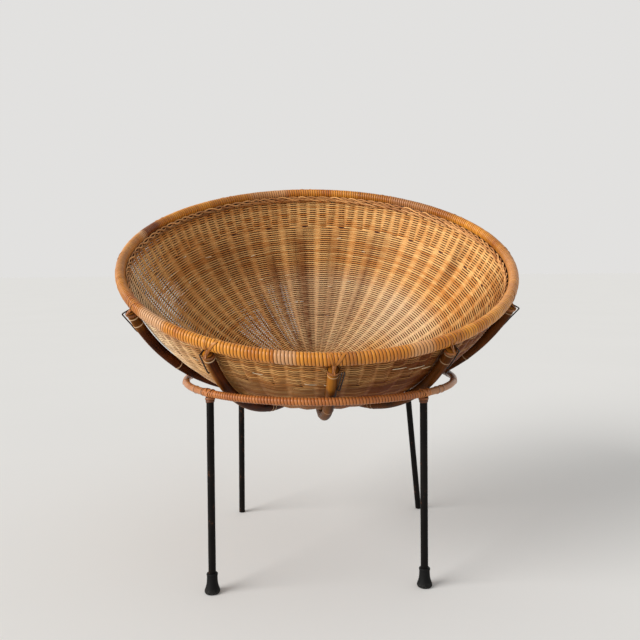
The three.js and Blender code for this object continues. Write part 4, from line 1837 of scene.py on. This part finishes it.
    def leg(self, leg: str) -> None:
        """Draws a leg from the floor to the ring, slightly uneven under its paint.

        Args:
            leg: The leg.
        """
        foot, high = self.leg_line(leg)
        along = unit(high - foot)
        length = (self.middle[2] - self.rod - self.leg_gap - foot[2]) / along[2]
        outline = [(0.0, self.leg_radius * 0.86), (0.8 * MM, self.leg_radius)]
        for height in np.linspace(0.04, 0.94, self.leg_steps) * length:
            uneven = 1 + float(self.random.normal(0, self.leg_unevenness))
            outline.append((float(height), self.leg_radius * uneven))
        outline += [(length - 4 * MM, self.leg_radius), (length, self.leg_radius * 0.93)]
        piece = turned(f"steel_leg_{leg}", outline, 28)

        def slanted(points: Array) -> Array:
            """Leans the leg, with its foot cut level.

            Args:
                points: Corners of the upright leg.

            Returns:
                Their places on the leaning one.
            """
            share = points[:, 2:] / length
            top = foot + along * length
            return np.hstack([points[:, :2] + foot[:2] + (top - foot)[:2] * share,
                              foot[2] + points[:, 2:] * along[2]])

        reshape(piece, slanted)
        face_outwards(piece)
        piece.data.materials.append(self.finishes.paint)
        settle(piece, Body.STAND, Slot.PAINT, f"leg_{leg}")

    def foot_cap(self, leg: str) -> None:
        """Models a rubber foot: a bulb with a rolled lip, on its leg.

        Args:
            leg: The leg.
        """
        node = f"foot_cap_{leg}"
        corners = node_points(node)
        sole = corners[corners[:, 2] < 0.5 * MM].mean(0)
        tall = float(corners[:, 2].max())
        wide = float(np.hypot(*(corners - sole)[:, :2].T).max())
        foot, high = self.leg_line(leg)
        outline = [(height * tall, radius * wide) for height, radius in self.foot_outline]
        piece = turned(f"rubber_foot_{leg}", outline, 36)
        lean = (high - foot)[:2] / (high - foot)[2]
        reshape(piece, lambda points: np.hstack(
            [points[:, :2] + sole[:2] + lean * points[:, 2:], points[:, 2:]]))
        face_outwards(piece)
        piece.data.materials.append(self.finishes.rubber)
        settle(piece, Body.STAND, Slot.RUBBER, node)

    def ring_turns(self, work: CaneWork, first: float, last: float) -> None:
        """Adds the turns of a lashing on the ring, fullest over the leg.

        Args:
            work: The mesh that takes it.
            first: The bearing where the lashing begins.
            last: The bearing where it ends.
        """
        slant = circle(20)
        count = round((last - first) * self.reach / self.turn_pitch)
        for turn in range(count):
            where = first + (turn + 0.5) * (last - first) / count
            bearing = where + 0.6 * MM / self.reach * np.sin(slant)
            bulge = 0.7 * MM * swell((where - (first + last) / 2) * self.reach, 9 * MM)
            path, facing = self.around(bearing, slant, bulge - self.strip_thickness / 2)
            work.sweep(path, facing, (last - first) / count * self.reach * 0.97,
                       self.strip_thickness, closed=True, tint=float(self.random.uniform(0.3, 0.8)))

    def collar(self, work: CaneWork, leg: str, middle: float) -> None:
        """Adds the two turns of a lashing round its leg.

        Args:
            work: The mesh that takes it.
            leg: The leg.
            middle: The bearing of the lashing's middle.
        """
        foot, high = self.leg_line(leg)
        along = unit(high - foot)
        out = np.array([math.sin(middle), -math.cos(middle), 0.0])
        side = np.cross(along, out)
        wrap = circle(24)
        facing = np.cos(wrap)[:, None] * out + np.sin(wrap)[:, None] * side
        for turn, (above, lift, stain) in enumerate(self.collars):
            rise = (above + 0.5 * np.sin(wrap + turn))[:, None] * MM
            path = high + rise * along + (self.leg_radius + lift * MM) * facing
            work.sweep(path, facing, self.strip_width, 1.6 * MM, closed=True, stain=stain,
                       tint=float(self.random.uniform(0.2, 0.6)))

    def crossed_strips(self, work: CaneWork, middle: float) -> None:
        """Crosses two strips over a lashing, outside the ring and inside it.

        Args:
            work: The mesh that takes it.
            middle: The bearing of the lashing's middle.
        """
        slide = np.linspace(*self.strip_slides, 10) * MM / self.reach
        slant = np.linspace(*self.strip_slants, 10) * DEGREE
        for lean in (-1.0, 1.0):
            for face in (slant, math.pi - slant):
                path, facing = self.around(middle + lean * slide, face, 0.9 * MM)
                work.sweep(path, facing, self.strip_width, 1.2 * MM,
                           tint=float(self.random.uniform(0.3, 0.9)))

    def lashing(self, leg: str) -> None:
        """Binds a leg to the ring: turns on the ring, a collar on the leg and crossed strips.

        Args:
            leg: The leg.
        """
        node = f"leg_lashing_{leg}"
        first, last = self.span(node)
        work = CaneWork(sides=8, squareness=0.8)
        self.ring_turns(work, first, last)
        self.collar(work, leg, (first + last) / 2)
        self.crossed_strips(work, (first + last) / 2)
        work.settle(f"leg_binding_{leg}", self.finishes.ring, Body.STAND, Slot.RING_CANE, node)

    def build(self) -> None:
        """Makes the stand."""
        self.winding("front")
        self.winding("back")
        for sheath in self.sheaths:
            self.sheath(sheath)
        for leg in self.legs:
            self.leg(leg)
            self.lashing(leg)
            if f"foot_cap_{leg}" in frame["nodes"]:
                self.foot_cap(leg)
        dress("stand_ring", self.finishes.paint)


@dataclass
class Studio:
    """The camera, a pale floor and soft light from a window on the left."""

    camera_place: tuple[float, float, float] = (4.4 * MM, -1.4335, 0.5604)
    camera_pitch: float = 4.423 * DEGREE
    camera_roll: float = -0.4126 * DEGREE
    lens: float = 39.375
    sensor_width: float = 36.0
    floor_reach: float = 40.0
    floor_colour: Colour = (0.87, 0.87, 0.86)
    room_colour: tuple[float, float, float, float] = (1.0, 0.99, 0.975, 1.0)
    room_light: float = 0.5
    backdrop_light: float = 0.76
    window_light: float = 2.95
    window_angle: float = 42.0 * DEGREE
    window_colour: Colour = (1.0, 0.98, 0.95)
    window_way: tuple[float, float, float] = (-0.81, -0.42, 0.4)

    def camera(self) -> None:
        """Sets the camera at the photograph's place."""
        data = bpy.data.cameras.new("camera")
        data.lens = self.lens
        data.sensor_width = self.sensor_width
        holder = bpy.data.objects.new("camera", data)
        bpy.context.scene.collection.objects.link(holder)
        turned_up = Matrix.Rotation(math.pi / 2 - self.camera_pitch, 4, "X")
        rolled = Matrix.Rotation(self.camera_roll, 4, "Z")
        holder.matrix_world = Matrix.Translation(self.camera_place) @ turned_up @ rolled
        bpy.context.scene.camera = holder

    def floor(self) -> None:
        """Lays a wide floor."""
        deselect()
        bpy.ops.mesh.primitive_plane_add(size=2 * self.floor_reach)
        sheet = bpy.context.object
        sheet.name = sheet.data.name = "floor"
        sheet.data.materials.append(PlainFinish("pale_floor", self.floor_colour).make())

    def window(self) -> None:
        """Lets the light in."""
        data = bpy.data.lights.new("window", "SUN")
        data.energy = self.window_light
        data.angle = self.window_angle
        data.color = self.window_colour
        holder = bpy.data.objects.new("window", data)
        bpy.context.scene.collection.objects.link(holder)
        back = unit(np.array(self.window_way))
        right = unit(np.cross([0.0, 0.0, 1.0], back))
        turn = Matrix(np.stack([right, np.cross(back, right), back], 1).tolist()).to_4x4()
        holder.matrix_world = Matrix.Translation(2.0 * back + np.array([0.0, 0.0, 0.5])) @ turn

    def room(self) -> None:
        """Sets the light from all round, and the backdrop that rays to the camera see."""
        world = bpy.data.worlds.new("room")
        world.use_nodes = True
        tree = world.node_tree
        background = tree.nodes["Background"]
        background.inputs["Color"].default_value = self.room_colour
        rays = tree.nodes.new("ShaderNodeLightPath").outputs
        seen = rays["Is Camera Ray"]
        for kind in ("Is Glossy Ray", "Is Transmission Ray"):
            either = tree.nodes.new("ShaderNodeMath")
            either.operation = "MAXIMUM"
            tree.links.new(seen, either.inputs[0])
            tree.links.new(rays[kind], either.inputs[1])
            seen = either.outputs[0]
        strength = tree.nodes.new("ShaderNodeMapRange")
        strength.inputs["To Min"].default_value = self.room_light
        strength.inputs["To Max"].default_value = self.backdrop_light
        tree.links.new(seen, strength.inputs["Value"])
        tree.links.new(strength.outputs[0], background.inputs["Strength"])
        bpy.context.scene.world = world

    def build(self) -> None:
        """Sets up the studio."""
        self.camera()
        self.floor()
        self.window()
        self.room()
        bpy.context.scene.view_settings.view_transform = "Standard"


def main() -> None:
    """Builds the studio and the chair, piece by piece."""
    logging.basicConfig(level=logging.INFO, format="%(name)s: %(message)s")
    Studio().build()
    place = BowlPlace.from_frame()
    finishes = Finishes()
    WovenBowl(place, finishes).build()
    rim = WoundRim(place, finishes)
    rim.build()
    BowlPoles(place, rim, finishes).build()
    SteelStand(finishes).build()


if __name__ == "__main__":
    main()
